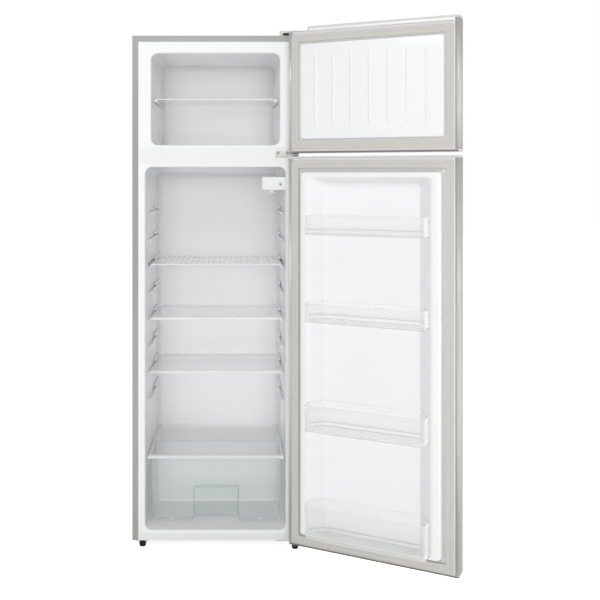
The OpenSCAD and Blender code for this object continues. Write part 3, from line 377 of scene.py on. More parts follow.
copper_tube = finish_of("copper_tube", (0.62, 0.30, 0.17), 0.34, 0.30, 24.0, 0.18, 600, 0.06,
                        edge_colour=(0.78, 0.46, 0.30), Metallic=0.95)
black_rubber = finish_of("black_rubber", (0.012, 0.012, 0.012), 0.85, 0.2, 14.0, 0.08, 1300, 0.4)
roller_nylon = finish_of("roller_nylon", (0.11, 0.11, 0.11), 0.55, 0.15, 18.0, 0.08, 1100, 0.2)
coated_wire = finish_of("coated_wire", (0.84, 0.84, 0.84), 0.34, 0.05, 16.0, 0.08, 900, 0.1,
                        Coat_Weight=0.3)
seal_vinyl = finish_of("seal_vinyl", (0.60, 0.59, 0.555), 0.58, 0.08, 14.0, 0.06, 1300, 0.18,
                       edge_colour=(0.62, 0.61, 0.58), edge_strength=0.4)
print(len(materials), "opaque finishes")

# %% [markdown]
# Clear plastic and thin glass are see-through face on and catch the light edge on. A mix of
# alpha values by the Fresnel angle gives that, and stays quiet in the render because light
# passes straight through instead of being bent.


# %% Clear finishes
def clear_finish(name, colour, facing_alpha, edge_alpha, roughness, blend=0.35):
    """A clear finish: alpha rises from facing_alpha, face on, to edge_alpha at a grazing angle."""
    made = finish_of(name, colour, roughness, 0.05, 10.0, 0.05, 900, 0.03, IOR=1.49)
    tree = made.node_tree
    shader = tree.nodes["Principled BSDF"]
    angle = tree.nodes.new("ShaderNodeLayerWeight")
    angle.inputs["Blend"].default_value = blend
    rise = tree.nodes.new("ShaderNodeMapRange")
    tree.links.new(angle.outputs["Facing"], rise.inputs["Value"])
    rise.inputs["To Min"].default_value = facing_alpha
    rise.inputs["To Max"].default_value = edge_alpha
    ray = tree.nodes.new("ShaderNodeLightPath").outputs
    dark = math_node(tree, "MAXIMUM", ray["Is Shadow Ray"], ray["Is Diffuse Ray"])
    shown = math_node(tree, "MULTIPLY", rise.outputs[0], math_node(tree, "SUBTRACT", 1.0, dark))
    tree.links.new(shown, shader.inputs["Alpha"])
    return made


clear_plastic = clear_finish("clear_plastic", (0.96, 0.975, 0.97), 0.10, 0.6, 0.10)
crisper_plastic = clear_finish("crisper_plastic", (0.80, 0.88, 0.87), 0.22, 0.5, 0.10)
crisper_edge = clear_finish("crisper_edge", (0.50, 0.62, 0.59), 0.5, 0.85, 0.16)
bin_edge = clear_finish("bin_edge", (0.93, 0.945, 0.94), 0.4, 0.85, 0.16)
# Painted shadow: the grey bead round the underside of each bin takes this colour.
bin_shadow_bead = clear_finish("bin_shadow_bead", (0.62, 0.64, 0.63), 0.4, 0.85, 0.16)
trim_clear = clear_finish("trim_clear", (0.95, 0.96, 0.955), 0.5, 0.95, 0.14)
shelf_glass = clear_finish("shelf_glass", (0.92, 0.95, 0.945), 0.05, 0.35, 0.05)
lens_frosted = clear_finish("lens_frosted", (0.9, 0.9, 0.88), 0.7, 0.95, 0.35)
bulb_glass = clear_finish("bulb_glass", (0.95, 0.94, 0.88), 0.35, 0.9, 0.06)
print("clear finishes made")


# %% [markdown]
# ## Finishes on the CAD pieces
# A CAD piece whose shape is right stays as it is. It takes a finish through its material slots,
# and a small bevel modifier rounds its edges the way sheet metal and mouldings are.

# %% Dress the CAD pieces
def rounded_edges(thing, width, segments=2, angle=40):
    """A bevel on edges sharper than angle."""
    bevel = thing.modifiers.new("rounded_edges", "BEVEL")
    bevel.width = width
    bevel.segments = segments
    bevel.limit_method = "ANGLE"
    bevel.angle_limit = radians(angle)
    bevel.harden_normals = False


def dress(node, material, bevel=0.0, angle=35):
    """Gives a CAD node one finish, smooth round faces and small rounded edges."""
    thing = nodes[node]
    thing.data.materials.clear()
    thing.data.materials.append(material)
    for face in thing.data.polygons:
        face.material_index = 0
        face.use_smooth = True
    thing.data.set_sharp_from_angle(angle=radians(angle))
    if bevel:
        rounded_edges(thing, bevel)


for node, material, bevel in (
        ("outer_shell", silver_paint, 0.0), ("back_panel", galvanised, 0.0),
        ("base_pan", galvanised, 0.0005), ("step_panel", galvanised, 0.0),
        ("cabinet_foam", foam_cream, 0.0), ("mullion_cover", moulded_white, 0.0004),
        ("bottom_trim", moulded_white, 0.0012), ("freezer_evaporator", bare_aluminium, 0.0),
        ("fridge_evaporator", bare_aluminium, 0.0), ("condenser", coil_black, 0.0),
        ("condenser_clips", moulded_white, 0.0008), ("compressor", enamel_black, 0.0),
        ("compressor_grommets", black_rubber, 0.0008), ("starter_relay", black_moulding, 0.0015),
        ("filter_drier", copper_tube, 0.0), ("pipework", copper_tube, 0.0),
        ("drip_tray", black_moulding, 0.001), ("drain_tube", moulded_white, 0.0),
        ("cord_gland", black_rubber, 0.0008), ("top_hinge", zinc, 0.0005),
        ("top_hinge_cover", cap_grey, 0.0015), ("middle_hinge", plated_white, 0.0006),
        ("bottom_hinge", enamel_black, 0.0005), ("hinge_pins", pin_steel, 0.0),
        ("hinge_screws", zinc, 0.0004),
        ("roller_brackets", galvanised, 0.0003), ("thermostat_housing", moulded_white, 0.0035),
        ("lamp_lens", lens_frosted, 0.0005), ("lamp_bulb", bulb_glass, 0.0),
        ("foot_left", black_rubber, 0.001), ("foot_right", black_rubber, 0.001),
        ("roller_left", roller_nylon, 0.001), ("roller_right", roller_nylon, 0.001),
        ("freezer_shelf", shelf_glass, 0.0008), ("wire_shelf", coated_wire, 0.0),
        ("glass_shelf_upper", shelf_glass, 0.0006), ("glass_shelf_lower", shelf_glass, 0.0006),
        ("crisper_cover", shelf_glass, 0.0006), ("upper_shelf_trim", trim_clear, 0.0012),
        ("lower_shelf_trim", trim_clear, 0.0012), ("crisper_cover_trim", trim_clear, 0.0012),
        ("crisper_drawer", crisper_plastic, 0.0008), ("thermostat_knob", moulded_white, 0.001),
        ("light_switch", switch_grey, 0.0006), ("freezer_door_caps", cap_grey, 0.0012),
        ("fridge_door_caps", cap_grey, 0.0012), ("freezer_door_skin", door_paint, 0.0),
        ("fridge_door_skin", door_paint, 0.0), ("freezer_door_foam", foam_cream, 0.0),
        ("fridge_door_foam", foam_cream, 0.0), ("freezer_door_liner", liner_white, 0.0),
        ("fridge_door_liner", liner_white, 0.0), ("freezer_door_gasket", seal_vinyl, 0.001),
        ("fridge_door_gasket", seal_vinyl, 0.001), ("freezer_liner", liner_white, 0.0),
        ("fridge_liner", liner_white, 0.0), ("door_bin_1", clear_plastic, 0.0),
        ("door_bin_2", clear_plastic, 0.0), ("door_bin_3", clear_plastic, 0.0),
        ("door_bin_4", clear_plastic, 0.0)):
    dress(node, material, bevel)
print("dressed", len(nodes), "CAD pieces")

# %% [markdown]
# ## Building with rings
# Most of the pieces that follow are formed sheet or mouldings: an outline that changes size and
# height as it goes. A loft does that: rings of the same number of points, joined by quads. Paths
# with rounded corners come from one helper, so every corner has a radius of its own.


# %% Outlines and lofts
def arc(cx, cy, r, start, end, steps):
    """Points along an arc, both ends included."""
    return [(cx + r * cos(start + (end - start) * i / steps),
             cy + r * sin(start + (end - start) * i / steps)) for i in range(steps + 1)]


def rounded_rect(x0, x1, z0, z1, r, steps=6):
    """A rounded rectangle, anticlockwise."""
    points = []
    for cx, cz, start in ((x1 - r, z0 + r, -pi / 2), (x1 - r, z1 - r, 0), (x0 + r, z1 - r, pi / 2),
                          (x0 + r, z0 + r, pi)):
        points += arc(cx, cz, r, start, start + pi / 2, steps)
    return points


def filleted(points, radii, steps=5):
    """A path whose inner corners are rounded, each with its own radius."""
    path = [tuple(points[0])]
    for before, corner, after, r in zip(points, points[1:], points[2:], radii):
        corner = Vector(corner)
        back, on = Vector(before) - corner, Vector(after) - corner
        half = back.angle(on) / 2
        reach = min(r / tan(half), 0.49 * back.length, 0.49 * on.length)
        start, end = corner + back.normalized() * reach, corner + on.normalized() * reach
        centre = corner + (back.normalized() + on.normalized()).normalized() * (reach / cos(half))
        for i in range(steps + 1):
            spoke = (start - centre).slerp(end - centre, i / steps)
            path.append(tuple(centre + spoke * (start - centre).length))
    path.append(tuple(points[-1]))
    return path


def filleted_loop(points, radii, steps=4):
    """The same for a closed outline."""
    around = [points[-1]] + list(points) + [points[0]]
    return filleted(around, radii, steps)[1:-1]


def ramp(t, ease=0.2):
    """Rises from 0 to 1 in a straight line with eased ends."""
    top = 2 * ease * (1 - ease)
    if t < ease:
        return t * t / top
    if t > 1 - ease:
        return 1 - (1 - t) ** 2 / top
    return (t - ease / 2) / (1 - ease)


def between(a, b, t):
    """The value t of the way from a to b."""
    return a + (b - a) * t


def loft_data(rings, closed=True, loop=False, cap_first=False, cap_last=False):
    """Points and faces of rings joined by quads."""
    count = len(rings[0])
    verts = [point for ring in rings for point in ring]
    faces = []
    rows = len(rings) if loop else len(rings) - 1
    for i in range(rows):
        low, high = i * count, (i + 1) % len(rings) * count
        for j in range(count if closed else count - 1):
            k = (j + 1) % count
            faces.append((low + j, low + k, high + k, high + j))
    if cap_first:
        faces.append(tuple(reversed(range(count))))
    if cap_last:
        faces.append(tuple((len(rings) - 1) * count + j for j in range(count)))
    return verts, faces


def joined(parts):
    """Several (points, faces) lists as one."""
    verts, faces = [], []
    for more_verts, more_faces in parts:
        start = len(verts)
        verts += list(more_verts)
        faces += [tuple(start + i for i in face) for face in more_faces]
    return verts, faces


def make(name, data, material, body, replaced=(), swung=False, recalc=True, flip=False,
         thickness=0.0, sharp=32):
    """A finished piece: mesh, normals, material, thickness, and the body that it rides on."""
    verts, faces = data
    if swung:
        verts = turned(np.array([tuple(v) for v in verts]), OPEN)
    thing = plain_mesh(name, verts, faces)
    shape = bmesh.new()
    shape.from_mesh(thing.data)
    bmesh.ops.remove_doubles(shape, verts=shape.verts, dist=0.00002)
    if recalc:
        bmesh.ops.recalc_face_normals(shape, faces=shape.faces)
    if flip:
        bmesh.ops.reverse_faces(shape, faces=shape.faces)
    shape.to_mesh(thing.data)
    shape.free()
    for face in thing.data.polygons:
        face.use_smooth = True
    thing.data.set_sharp_from_angle(angle=radians(sharp))
    thing.data.materials.append(material)
    if thickness:
        wall = thing.modifiers.new("wall", "SOLIDIFY")
        wall.thickness = thickness
        wall.offset = -1.0
    if replaced:
        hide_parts(*replaced)
    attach(thing, body)
    print(name, len(thing.data.polygons), "faces")
    return thing


# %% [markdown]
# ## The two rooms
# Each room is one sheet of white plastic, drawn by vacuum into a mould, so every edge has a soft
# radius and the sheet flows out at the mouth into the flat flange of the cabinet front. It is
# built as the mould maker sees it: the side view of floor, back and ceiling is one path; it is
# swept across the width, turns up into the side walls with a fillet, and the side walls close it.

# %% Measure a room from its CAD node
SHEET = 2 * MM
EDGE = 0.1 * MM


def room_measures(node, border, corner):
    """Mouth, depth and step of a room, read from its CAD mesh; corner rounds its back corners."""
    points = corners(node)
    screws = (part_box("middle_hinge")[0].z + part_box("middle_hinge")[1].z) / 2
    points = points[abs(points[:, 2] - screws) > 16 * MM]
    plane = points[:, 1].min()
    at_mouth = points[(points[:, 1] < plane + EDGE) & (abs(points[:, 0]) < HALF_W - border)]
    back = points[:, 1].max() - SHEET
    at_back = points[abs(points[:, 1] - back) < EDGE]
    low = at_mouth[:, 2].min()
    floor_end = points[(points[:, 2] < low + 2 * MM) & (abs(points[:, 2] - low) < EDGE)][:, 1].max()
    return {"plane": plane, "half": abs(at_mouth[:, 0]).max(), "low": low, "high": at_mouth[:, 2].max(),
            "back": back, "back_half": abs(at_back[:, 0]).max() + corner, "corner": corner,
            "back_low": at_back[:, 2].min(), "floor_end": floor_end - SHEET,
            "flange_low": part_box(node)[0].z, "flange_high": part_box(node)[1].z,
            "flange_half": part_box(node)[1].x}


def half_width(room, y):
    """Half width of a room at a depth: its side walls draw in towards the back."""
    depth = room["back"] - room["corner"] - room["plane"]
    return between(room["half"], room["back_half"], (y - room["plane"]) / depth)


FRIDGE = room_measures("fridge_liner", 30 * MM, 26 * MM)
FREEZER = room_measures("freezer_liner", 30 * MM, 22 * MM)
for name, room in (("fridge", FRIDGE), ("freezer", FREEZER)):
    print(name, {key: round(float(value), 4) for key, value in room.items()})


# %% Sweep a room
FILLET = 22 * MM
LIP = 6 * MM
TURN = 8


def room_sheet(room, path):
    """The sheet of one room: path is its side view from the floor's front to the ceiling's front."""
    path = [Vector(p) for p in path]
    normals = []
    for i, point in enumerate(path):
        before, after = path[max(i - 1, 0)], path[min(i + 1, len(path) - 1)]
        along = (after - before).normalized()
        normals.append(Vector((-along.y, along.x)))
    normals[0], normals[-1] = Vector((0, 1)), Vector((0, -1))
    rings = []
    for point, normal in zip(path, normals):
        side = []
        for step in range(TURN + 1):
            angle = pi / 2 * step / TURN
            lift = point + normal * FILLET * (1 - cos(angle))
            side.append((half_width(room, lift.x) - FILLET * (1 - sin(angle)), lift.x, lift.y))
        rings.append([(-x, y, z) for x, y, z in reversed(side)] + side)
    verts, faces = loft_data(rings, closed=False)
    count = len(rings[0])
    faces.append(tuple(i * count for i in range(len(rings))))
    faces.append(tuple(reversed([i * count + count - 1 for i in range(len(rings))])))
    return verts, faces


def mouth_lip(room):
    """The rounded lip from the room's mouth out to the flange plane, as rings."""
    half, low, high = room["half"], room["low"], room["high"]
    rings = []
    for step in range(TURN + 1):
        angle = pi / 2 * step / TURN
        out = LIP * (1 - cos(angle))
        y = room["plane"] + LIP * (1 - sin(angle))
        outline = rounded_rect(-half - out, half + out, low - out, high + out, FILLET + out, TURN)
        rings.append([(x, y, z) for x, z in outline])
    return rings


def flange(room, inner_ring):
    """The flat flange: a plate with the mouth cut out of it."""
    half = room["flange_half"]
    shape = bmesh.new()
    loops = [[(-half, room["flange_low"]), (half, room["flange_low"]), (half, room["flange_high"]),
              (-half, room["flange_high"])], [(x, z) for x, y, z in inner_ring]]
    for outline in loops:
        points = [shape.verts.new((x, room["plane"], z)) for x, z in outline]
        for a, b in zip(points, points[1:] + points[:1]):
            shape.edges.new((a, b))
    bmesh.ops.triangle_fill(shape, edges=shape.edges[:], use_beauty=True)
    shape.verts.index_update()
    data = ([tuple(v.co) for v in shape.verts], [tuple(v.index for v in f.verts) for f in shape.faces])
    shape.free()
    return data


def soft_block(x, y, z, r, steps=3):
    """A box with all its edges rounded, as points and faces."""
    rings = []
    for drop in range(steps + 1):
        angle = pi / 2 * drop / steps
        inset, height = r * (1 - sin(angle)), r * (1 - cos(angle))
        rings.append([(px, py, z[0] + height) for px, py in
                      rounded_rect(x[0] + inset, x[1] - inset, y[0] + inset, y[1] - inset, r, steps)])
    rings += [[(px, py, z[0] + z[1] - pz) for px, py, pz in ring] for ring in reversed(rings)]
    return loft_data(rings, cap_first=True, cap_last=True)


# %% [markdown]
# The shelf runners are moulded into the side walls: a ledge under the shelf, and a shorter rib
# above it that stops the shelf from tipping when it is pulled out.


# %% Runners
RUNNER_H = 7 * MM


def runner(level, front, back, reach, half, guard_front=None, guard_gap=0.0):
    """Ledges on both walls with their top at level, and the anti-tip ribs above them."""
    parts = []
    for side in (-1, 1):
        across = sorted((side * reach, side * (half + 1 * MM)))
        parts.append(soft_block(across, (front, back), (level - RUNNER_H, level), 2.4 * MM))
        if guard_front is not None:
            base = level + guard_gap
            parts.append(soft_block(across, (guard_front, back - 20 * MM), (base, base + RUNNER_H),
                                    2.4 * MM))
    return parts


# %% Freezer room
room = FREEZER
depth_start = room["plane"] + LIP
side_view = filleted([(depth_start, room["low"]), (room["back"], room["low"]),
                      (room["back"], room["high"]), (depth_start, room["high"])],
                     [FILLET + 2 * MM] * 2, 8)
lip_rings = mouth_lip(room)
shelf_low, shelf_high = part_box("freezer_shelf")
ledges = runner(shelf_low.z - 0.1 * MM, shelf_low.y - 10 * MM, room["back"] - 40 * MM,
                shelf_high.x - 7 * MM, room["back_half"], shelf_low.y + 160 * MM,
                shelf_high.z - shelf_low.z + 0.6 * MM)
freezer_room = joined([room_sheet(room, side_view), loft_data(lip_rings),
                       flange(room, lip_rings[-1])])
make("freezer_room_sheet", freezer_room, liner_white, "cabinet", ["freezer_liner"], flip=True,
     sharp=40)
make("freezer_runners", joined(ledges), liner_white, "cabinet", sharp=40)

# %% Fridge room
room = FRIDGE
depth_start = room["plane"] + LIP
NOSE = 14 * MM
CEILING_DROP = room["high"] - (corners("fridge_liner")[:, 2][abs(corners("fridge_liner")[:, 1] - room["back"])
                                                         < EDGE].max() + 26 * MM)

side_view = filleted([(depth_start, room["low"]), (room["floor_end"], room["low"]),
                      (room["floor_end"], room["back_low"]), (room["back"], room["back_low"]),
                      (room["back"], room["high"] - CEILING_DROP), (FRONT + 60 * MM, room["high"]),
                      (depth_start, room["high"])],
                     [FILLET + 2 * MM, NOSE, FILLET + 2 * MM, 26 * MM, 60 * MM], 8)
lip_rings = mouth_lip(room)
ledges = []
shelf_low, shelf_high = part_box("glass_shelf_lower")
pitch = (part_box("glass_shelf_upper")[0].z - shelf_low.z) / 2
for step in range(-1, 7):
    ledges += runner(shelf_low.z - 0.1 * MM + step * pitch, shelf_low.y + 4 * MM, room["back"] - 20 * MM,
                     shelf_high.x - 7 * MM, room["back_half"], shelf_low.y + 150 * MM, 6.4 * MM)
cover_low, cover_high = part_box("crisper_cover")
ledges += runner(cover_low.z - 0.1 * MM, cover_low.y + 4 * MM, room["back"] - 20 * MM,
                 cover_high.x - 7 * MM, room["back_half"])
for x in (-0.15, 0.15):
    ledges.append(soft_block((x - 6 * MM, x + 6 * MM), (FRONT + 95 * MM, room["floor_end"] - 2 * MM),
                             (room["low"] - 3 * MM, room["low"] + 3.7 * MM), 2 * MM))
fridge_room = joined([room_sheet(room, side_view), loft_data(lip_rings),
                      flange(room, lip_rings[-1])])
make("fridge_room_sheet", fridge_room, liner_white, "cabinet", ["fridge_liner"], flip=True,
     sharp=40)
make("fridge_runners", joined(ledges), liner_white, "cabinet", sharp=40)

# %% [markdown]
# ## Door skins
# The outside of each door is one sheet of painted steel, folded round the front corners and back
# in over the foam. Down the free edge a fold sinks in, which makes the finger groove that the
# door is pulled open by. The fold is a path seen from above, extruded between the end caps.

# %% Door skins
GROOVE_DEPTH = 6 * MM
GROOVE_FROM, GROOVE_TO = 9 * MM, 17 * MM
RETURN = 12 * MM
STEEL = 1 * MM


def door_skin(node, notch=None):
    """The folded sheet of one door; notch is (x, height) where the top hinge passes."""
    low, high = shut_box(node)
    inner, outer, half = high.y, low.y, high.x
    path = filleted([(half - RETURN, inner), (half, inner), (half, outer), (-half, outer),
                     (-half, inner - GROOVE_TO), (-half + GROOVE_DEPTH, inner - GROOVE_TO),
                     (-half + GROOVE_DEPTH, inner - GROOVE_FROM), (-half, inner - GROOVE_FROM),
                     (-half, inner), (-half + RETURN, inner)],
                    [1 * MM, 8 * MM, 8 * MM, 1.5 * MM, 1.5 * MM, 1.5 * MM, 1 * MM, 1 * MM], 6)
    tops = [high.z] * len(path)
    if notch:
        edge = next(i for i, point in enumerate(path) if point[0] < notch[0])
        path[edge:edge] = [(notch[0], outer)] * 2
        tops = [notch[1]] * (edge + 1) + [high.z] * (len(path) - edge - 1)
    rings = [[(x, y, low.z) for x, y in path], [(x, y, top) for (x, y), top in zip(path, tops)]]
    verts, faces = loft_data(rings, closed=False)
    return verts, [tuple(reversed(face)) for face in faces]


cap_points = turned(corners("freezer_door_caps"), -OPEN)
notch_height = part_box("top_hinge")[0].z + 3 * MM
notch_x = cap_points[cap_points[:, 2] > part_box("freezer_door_caps")[1].z - EDGE][:, 0].max() - 2 * MM
make("freezer_door_sheet", door_skin("freezer_door_skin", (notch_x, notch_height)), door_paint,
     "freezer_door", ["freezer_door_skin"], swung=True, recalc=False, thickness=STEEL)
make("fridge_door_sheet", door_skin("fridge_door_skin"), door_paint, "fridge_door",
     ["fridge_door_skin"], swung=True, recalc=False, thickness=STEEL)

# %% [markdown]
# ## Door liners
# The fridge door's inside is a deep-drawn sheet: flat where the seal sits, then a raised frame
# that keeps the cold in, then a slope down to a recess that holds the bins. Each ring of the loft
# is a rounded rectangle at one height; eased ramps between the levels give the soft edges that
# drawing leaves.


# %% Levels of a drawn sheet
def drawn_rings(low, high, levels):
    """Rings through levels of (side inset, top inset, bottom inset, height, corner radius)."""
    rings = []
    for level, after in zip(levels, levels[1:]):
        steps = 12 if level[3] != after[3] else 1
        for i in range(steps):
            t = i / steps
            side, top, bottom = (between(level[k], after[k], t) for k in range(3))
            height = between(level[3], after[3], ramp(t))
            r = between(level[4], after[4], t)
            outline = rounded_rect(low.x + side, high.x - side, low.z + bottom, high.z - top, r, 8)
            rings.append([(x, high.y + height, z) for x, z in outline])
    side, top, bottom, height, r = levels[-1]
    outline = rounded_rect(low.x + side, high.x - side, low.z + bottom, high.z - top, r, 8)
    rings.append([(x, high.y + height, z) for x, z in outline])
    return rings


def sunk(rings, depth, base):
    """The same rings a little lower, closed down to base: the foam behind a drawn sheet."""
    lower = [[(x, y - depth, z) for x, y, z in ring] for ring in rings]
    return [[(x, base, z) for x, y, z in lower[0]]] + lower


# %% Fridge door liner and its foam
CAP_H = 7 * MM
LINER = 1.5 * MM
FOAM_DROP = 2.2 * MM
door_low, door_high = shut_box("fridge_door_skin")
door_low.z -= CAP_H
door_high.z += CAP_H
RIM_H = 28 * MM
RECESS = -14 * MM
levels = [(12 * MM, 7 * MM, 7 * MM, 0, 3 * MM), (43 * MM, 43 * MM, 43 * MM, 0, 12 * MM),
          (53 * MM, 53 * MM, 51 * MM, RIM_H, 14 * MM), (73 * MM, 64 * MM, 51.5 * MM, RIM_H, 14 * MM),
          (126 * MM, 86 * MM, 60 * MM, RECESS, 12 * MM)]
rings = drawn_rings(door_low, door_high, levels)
make("fridge_door_sheet_inner", loft_data(rings, cap_last=True), liner_white, "fridge_door",
     ["fridge_door_liner"], swung=True, recalc=False, flip=True, thickness=LINER, sharp=50)
core = sunk(rings, FOAM_DROP, door_low.y + 2 * MM)
make("fridge_door_core", loft_data(core, cap_first=True, cap_last=True), foam_cream, "fridge_door",
     ["fridge_door_foam"], swung=True)

# %% [markdown]
# The freezer door's liner is shallow: a low raised panel with seven upright ribs that stiffen it.

# %% Freezer door liner and its foam
top_low, top_high = shut_box("freezer_door_skin")
top_low.z -= CAP_H
top_high.z += CAP_H
TOP_DROP = 12 * MM
PANEL_H = 6 * MM
levels = [(12 * MM, 15 * MM, 7 * MM, 0, 3 * MM), (41 * MM, 41 * MM + TOP_DROP, 41 * MM, 0, 8 * MM),
          (46 * MM, 46 * MM + TOP_DROP, 46 * MM, PANEL_H, 10 * MM)]
rings = drawn_rings(top_low, top_high, levels)
panel_y = top_high.y + PANEL_H


def upright_rib(x, low, high, width, height):
    """A half-round rib with tapered ends, standing on the panel."""
    rings = []
    steps = 14
    for i in range(steps + 1):
        t = i / steps
        swell = min(1.0, (1 - abs(2 * t - 1)) * 6) ** 0.5 if 0 < t < 1 else 0.02
        outline = [(x + width / 2 * swell * cos(a), panel_y - 1 * MM + (height + 1 * MM) * swell * sin(a))
                   for a in (pi * k / 10 for k in range(11))]
        rings.append([(px, py, between(low, high, t)) for px, py in outline])
    return loft_data(rings, cap_first=True, cap_last=True)


RIBS = 7
RIB_PITCH = 60 * MM
ribs = [upright_rib((i - (RIBS - 1) / 2) * RIB_PITCH, top_low.z + 78 * MM, top_high.z - 76 * MM,
                    11 * MM, 3.2 * MM) for i in range(RIBS)]
strip = soft_block((top_low.x + 12 * MM, notch_x - 1 * MM), (top_high.y - 3 * MM, top_high.y),
                   (top_high.z - CAP_H - 10 * MM, top_high.z - CAP_H), 0.4 * MM)
make("freezer_door_top_strip", strip, liner_white, "freezer_door", swung=True)
make("freezer_door_sheet_inner", loft_data(rings, cap_last=True), liner_white,
     "freezer_door", ["freezer_door_liner"], swung=True, recalc=False, flip=True,
     thickness=LINER, sharp=40)
make("freezer_door_ribs", joined(ribs), liner_white, "freezer_door", swung=True, sharp=40)
core = [[(x, y, min(z, notch_height)) for x, y, z in ring]
        for ring in sunk(rings, FOAM_DROP, top_low.y + 2 * MM)]
make("freezer_door_core", loft_data(core, cap_first=True, cap_last=True),
     foam_cream, "freezer_door", ["freezer_door_foam"], swung=True)

# %% [markdown]
# ## Door seals
# The seal is an extruded vinyl tube with a magnet in its face and a bellows at its root, welded
# at the corners. Its section is a path, and each point of the path becomes one rectangular ring,
# so the corners are true mitres.


# %% Door seals
def seal(node):
    """The seal's section, (inset, height), carried round the door."""
    low, high = shut_box(node)
    inner = shut_box(node.replace("gasket", "skin"))[1].y
    wide = 25.5 * MM
    tall = high.y - inner
    section = filleted([(3 * MM, 0), (3.2 * MM, 2.2 * MM), (0.2 * MM, 3.6 * MM), (0.3 * MM, tall - 0.1 * MM),
                        (9 * MM, tall - 0.3 * MM), (10.5 * MM, tall - 1.6 * MM), (12 * MM, tall - 0.3 * MM),
                        (wide - 1 * MM, tall - 0.4 * MM), (wide - 0.3 * MM, 6.5 * MM),
                        (wide - 5 * MM, 4.5 * MM), (wide - 1.5 * MM, 2.6 * MM), (wide - 4 * MM, 0)],
                       [0.6 * MM] * 10, 3)
    rings = []
    for inset, height in section:
        outline = rounded_rect(low.x + inset, high.x - inset, low.z + inset, high.z - inset,
                               max(6 * MM - inset / 5, 1 * MM), 4)
        rings.append([(x, inner + height, z) for x, z in outline])
    return loft_data(rings, loop=True)


for door in ("freezer_door", "fridge_door"):
    make(door + "_seal", seal(door + "_gasket"), seal_vinyl, door, [door + "_gasket"], swung=True,
         sharp=30)

# %% [markdown]
# ## Door bins
# The bins are clear mouldings with a thick rim that stands proud of the wall, and a floor that
# turns up into it. From above, a bin follows the sloping sides of the liner, so its back is
# narrower than its front.

# %% Door bins
SLOPE = tan(pi / 8)


def bin_outline(measure, inset):
    """A bin seen from above, drawn in by inset."""
    half, back_half, back, shoulder, front = measure
    points = [(-back_half + SLOPE * inset, back + inset), (back_half - SLOPE * inset, back + inset),
              (half - inset, shoulder + SLOPE * inset), (half - inset, front - inset),
              (-half + inset, front - inset), (-half + inset, shoulder + SLOPE * inset)]
    r = max(14 * MM - inset, 4 * MM)
    return filleted_loop(points, [6 * MM, 6 * MM, 6 * MM, r, r, 6 * MM], 5)


def bin_measure(node):
    """Half width, half width of the back, and the depths of a bin, read from its CAD mesh."""
    points = turned(corners(node), -OPEN)
    half, back, front = abs(points[:, 0]).max(), points[:, 1].min(), points[:, 1].max()
    back_half = abs(points[points[:, 1] < back + EDGE][:, 0]).max()
    shoulder = points[abs(points[:, 0]) > half - EDGE][:, 1].min()
    return half, back_half, back, shoulder, front


# (inset, height) in millimetres from the underside up the outside and down the inside; a height of
# None is measured down from the rim, by the next of the drops
for number in range(1, 5):
    node = f"door_bin_{number}"
    low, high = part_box(node)
    measure = bin_measure(node)
    profile = [(6, 0), (3.2, 0.8), (1.8, 3), (1.4, 8), (1.4, None), (0.1, None), (0, None), (0.5, None),
               (1.6, None), (3.2, None), (4.0, None), (4.1, 8), (5.2, 4.6), (9, 2.5)]
    drops = iter((9, 8, 2, 0.6, 0, 0.4, 2))
    rings = []
    for inset, height in profile:
        z = low.z + height * MM if height is not None else high.z - next(drops) * MM
        rings.append([(x, y, z) for x, y in bin_outline(measure, inset * MM)])
    make(f"bin_{number}_moulding", loft_data(rings, cap_first=True, cap_last=True), clear_plastic,
         f"bin_{number}", [node], swung=True, sharp=28)

# %% [markdown]
# ## Edges of clear mouldings
# Clear polystyrene is nearly invisible face on, but light travels along inside the wall and comes
# out at its edges, so the edges look darker and greener. A bead along each edge, in a denser
# finish, stands for that. The grey bead round the underside of each bin is painted shadow instead:
# it stands for the shade under the bin's floor.


# %% Beads along edges
def bead(path, r, closed=False, sides=8):
    """A round bead along a path of points, as points and faces."""
    path = [Vector(p) for p in path]
    count = len(path)
    rings = []
    for i, point in enumerate(path):
        before = path[(i - 1) % count] if closed or i else path[0]
        after = path[(i + 1) % count] if closed or i < count - 1 else path[-1]
        along = (after - before).normalized()
        up = Vector((0, 0, 1)) if abs(along.z) < 0.9 else Vector((0, 1, 0))
        across = along.cross(up).normalized()
        up = across.cross(along)
        rings.append([tuple(point + across * r * cos(2 * pi * k / sides) + up * r * sin(2 * pi * k / sides))
                      for k in range(sides)])
    return loft_data(rings, loop=closed, cap_first=not closed, cap_last=not closed)


# %% Edges of the crisper
drawer = corners("crisper_drawer")
low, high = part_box("crisper_drawer")
grip = drawer[(drawer[:, 1] < low.y + EDGE) & (drawer[:, 2] > low.z + 40 * MM)
              & (drawer[:, 2] < high.z - 40 * MM)]
grip_half, grip_top = abs(grip[:, 0]).max(), grip[:, 2].max()
grip_back = low.y + 24 * MM
foot_half = abs(drawer[drawer[:, 2] < low.z + EDGE][:, 0]).max()
R = 1.3 * MM


def drawer_outline(y, inset):
    """The drawer's front view, from the grip round one bottom corner to the top, at depth y."""
    side = filleted([(grip_half + R, low.z + inset), (foot_half + 10 * MM - inset, low.z + inset),
                     (high.x - inset, high.z - inset)], [12 * MM], 6)
    return [(x, y, z) for x, z in side]


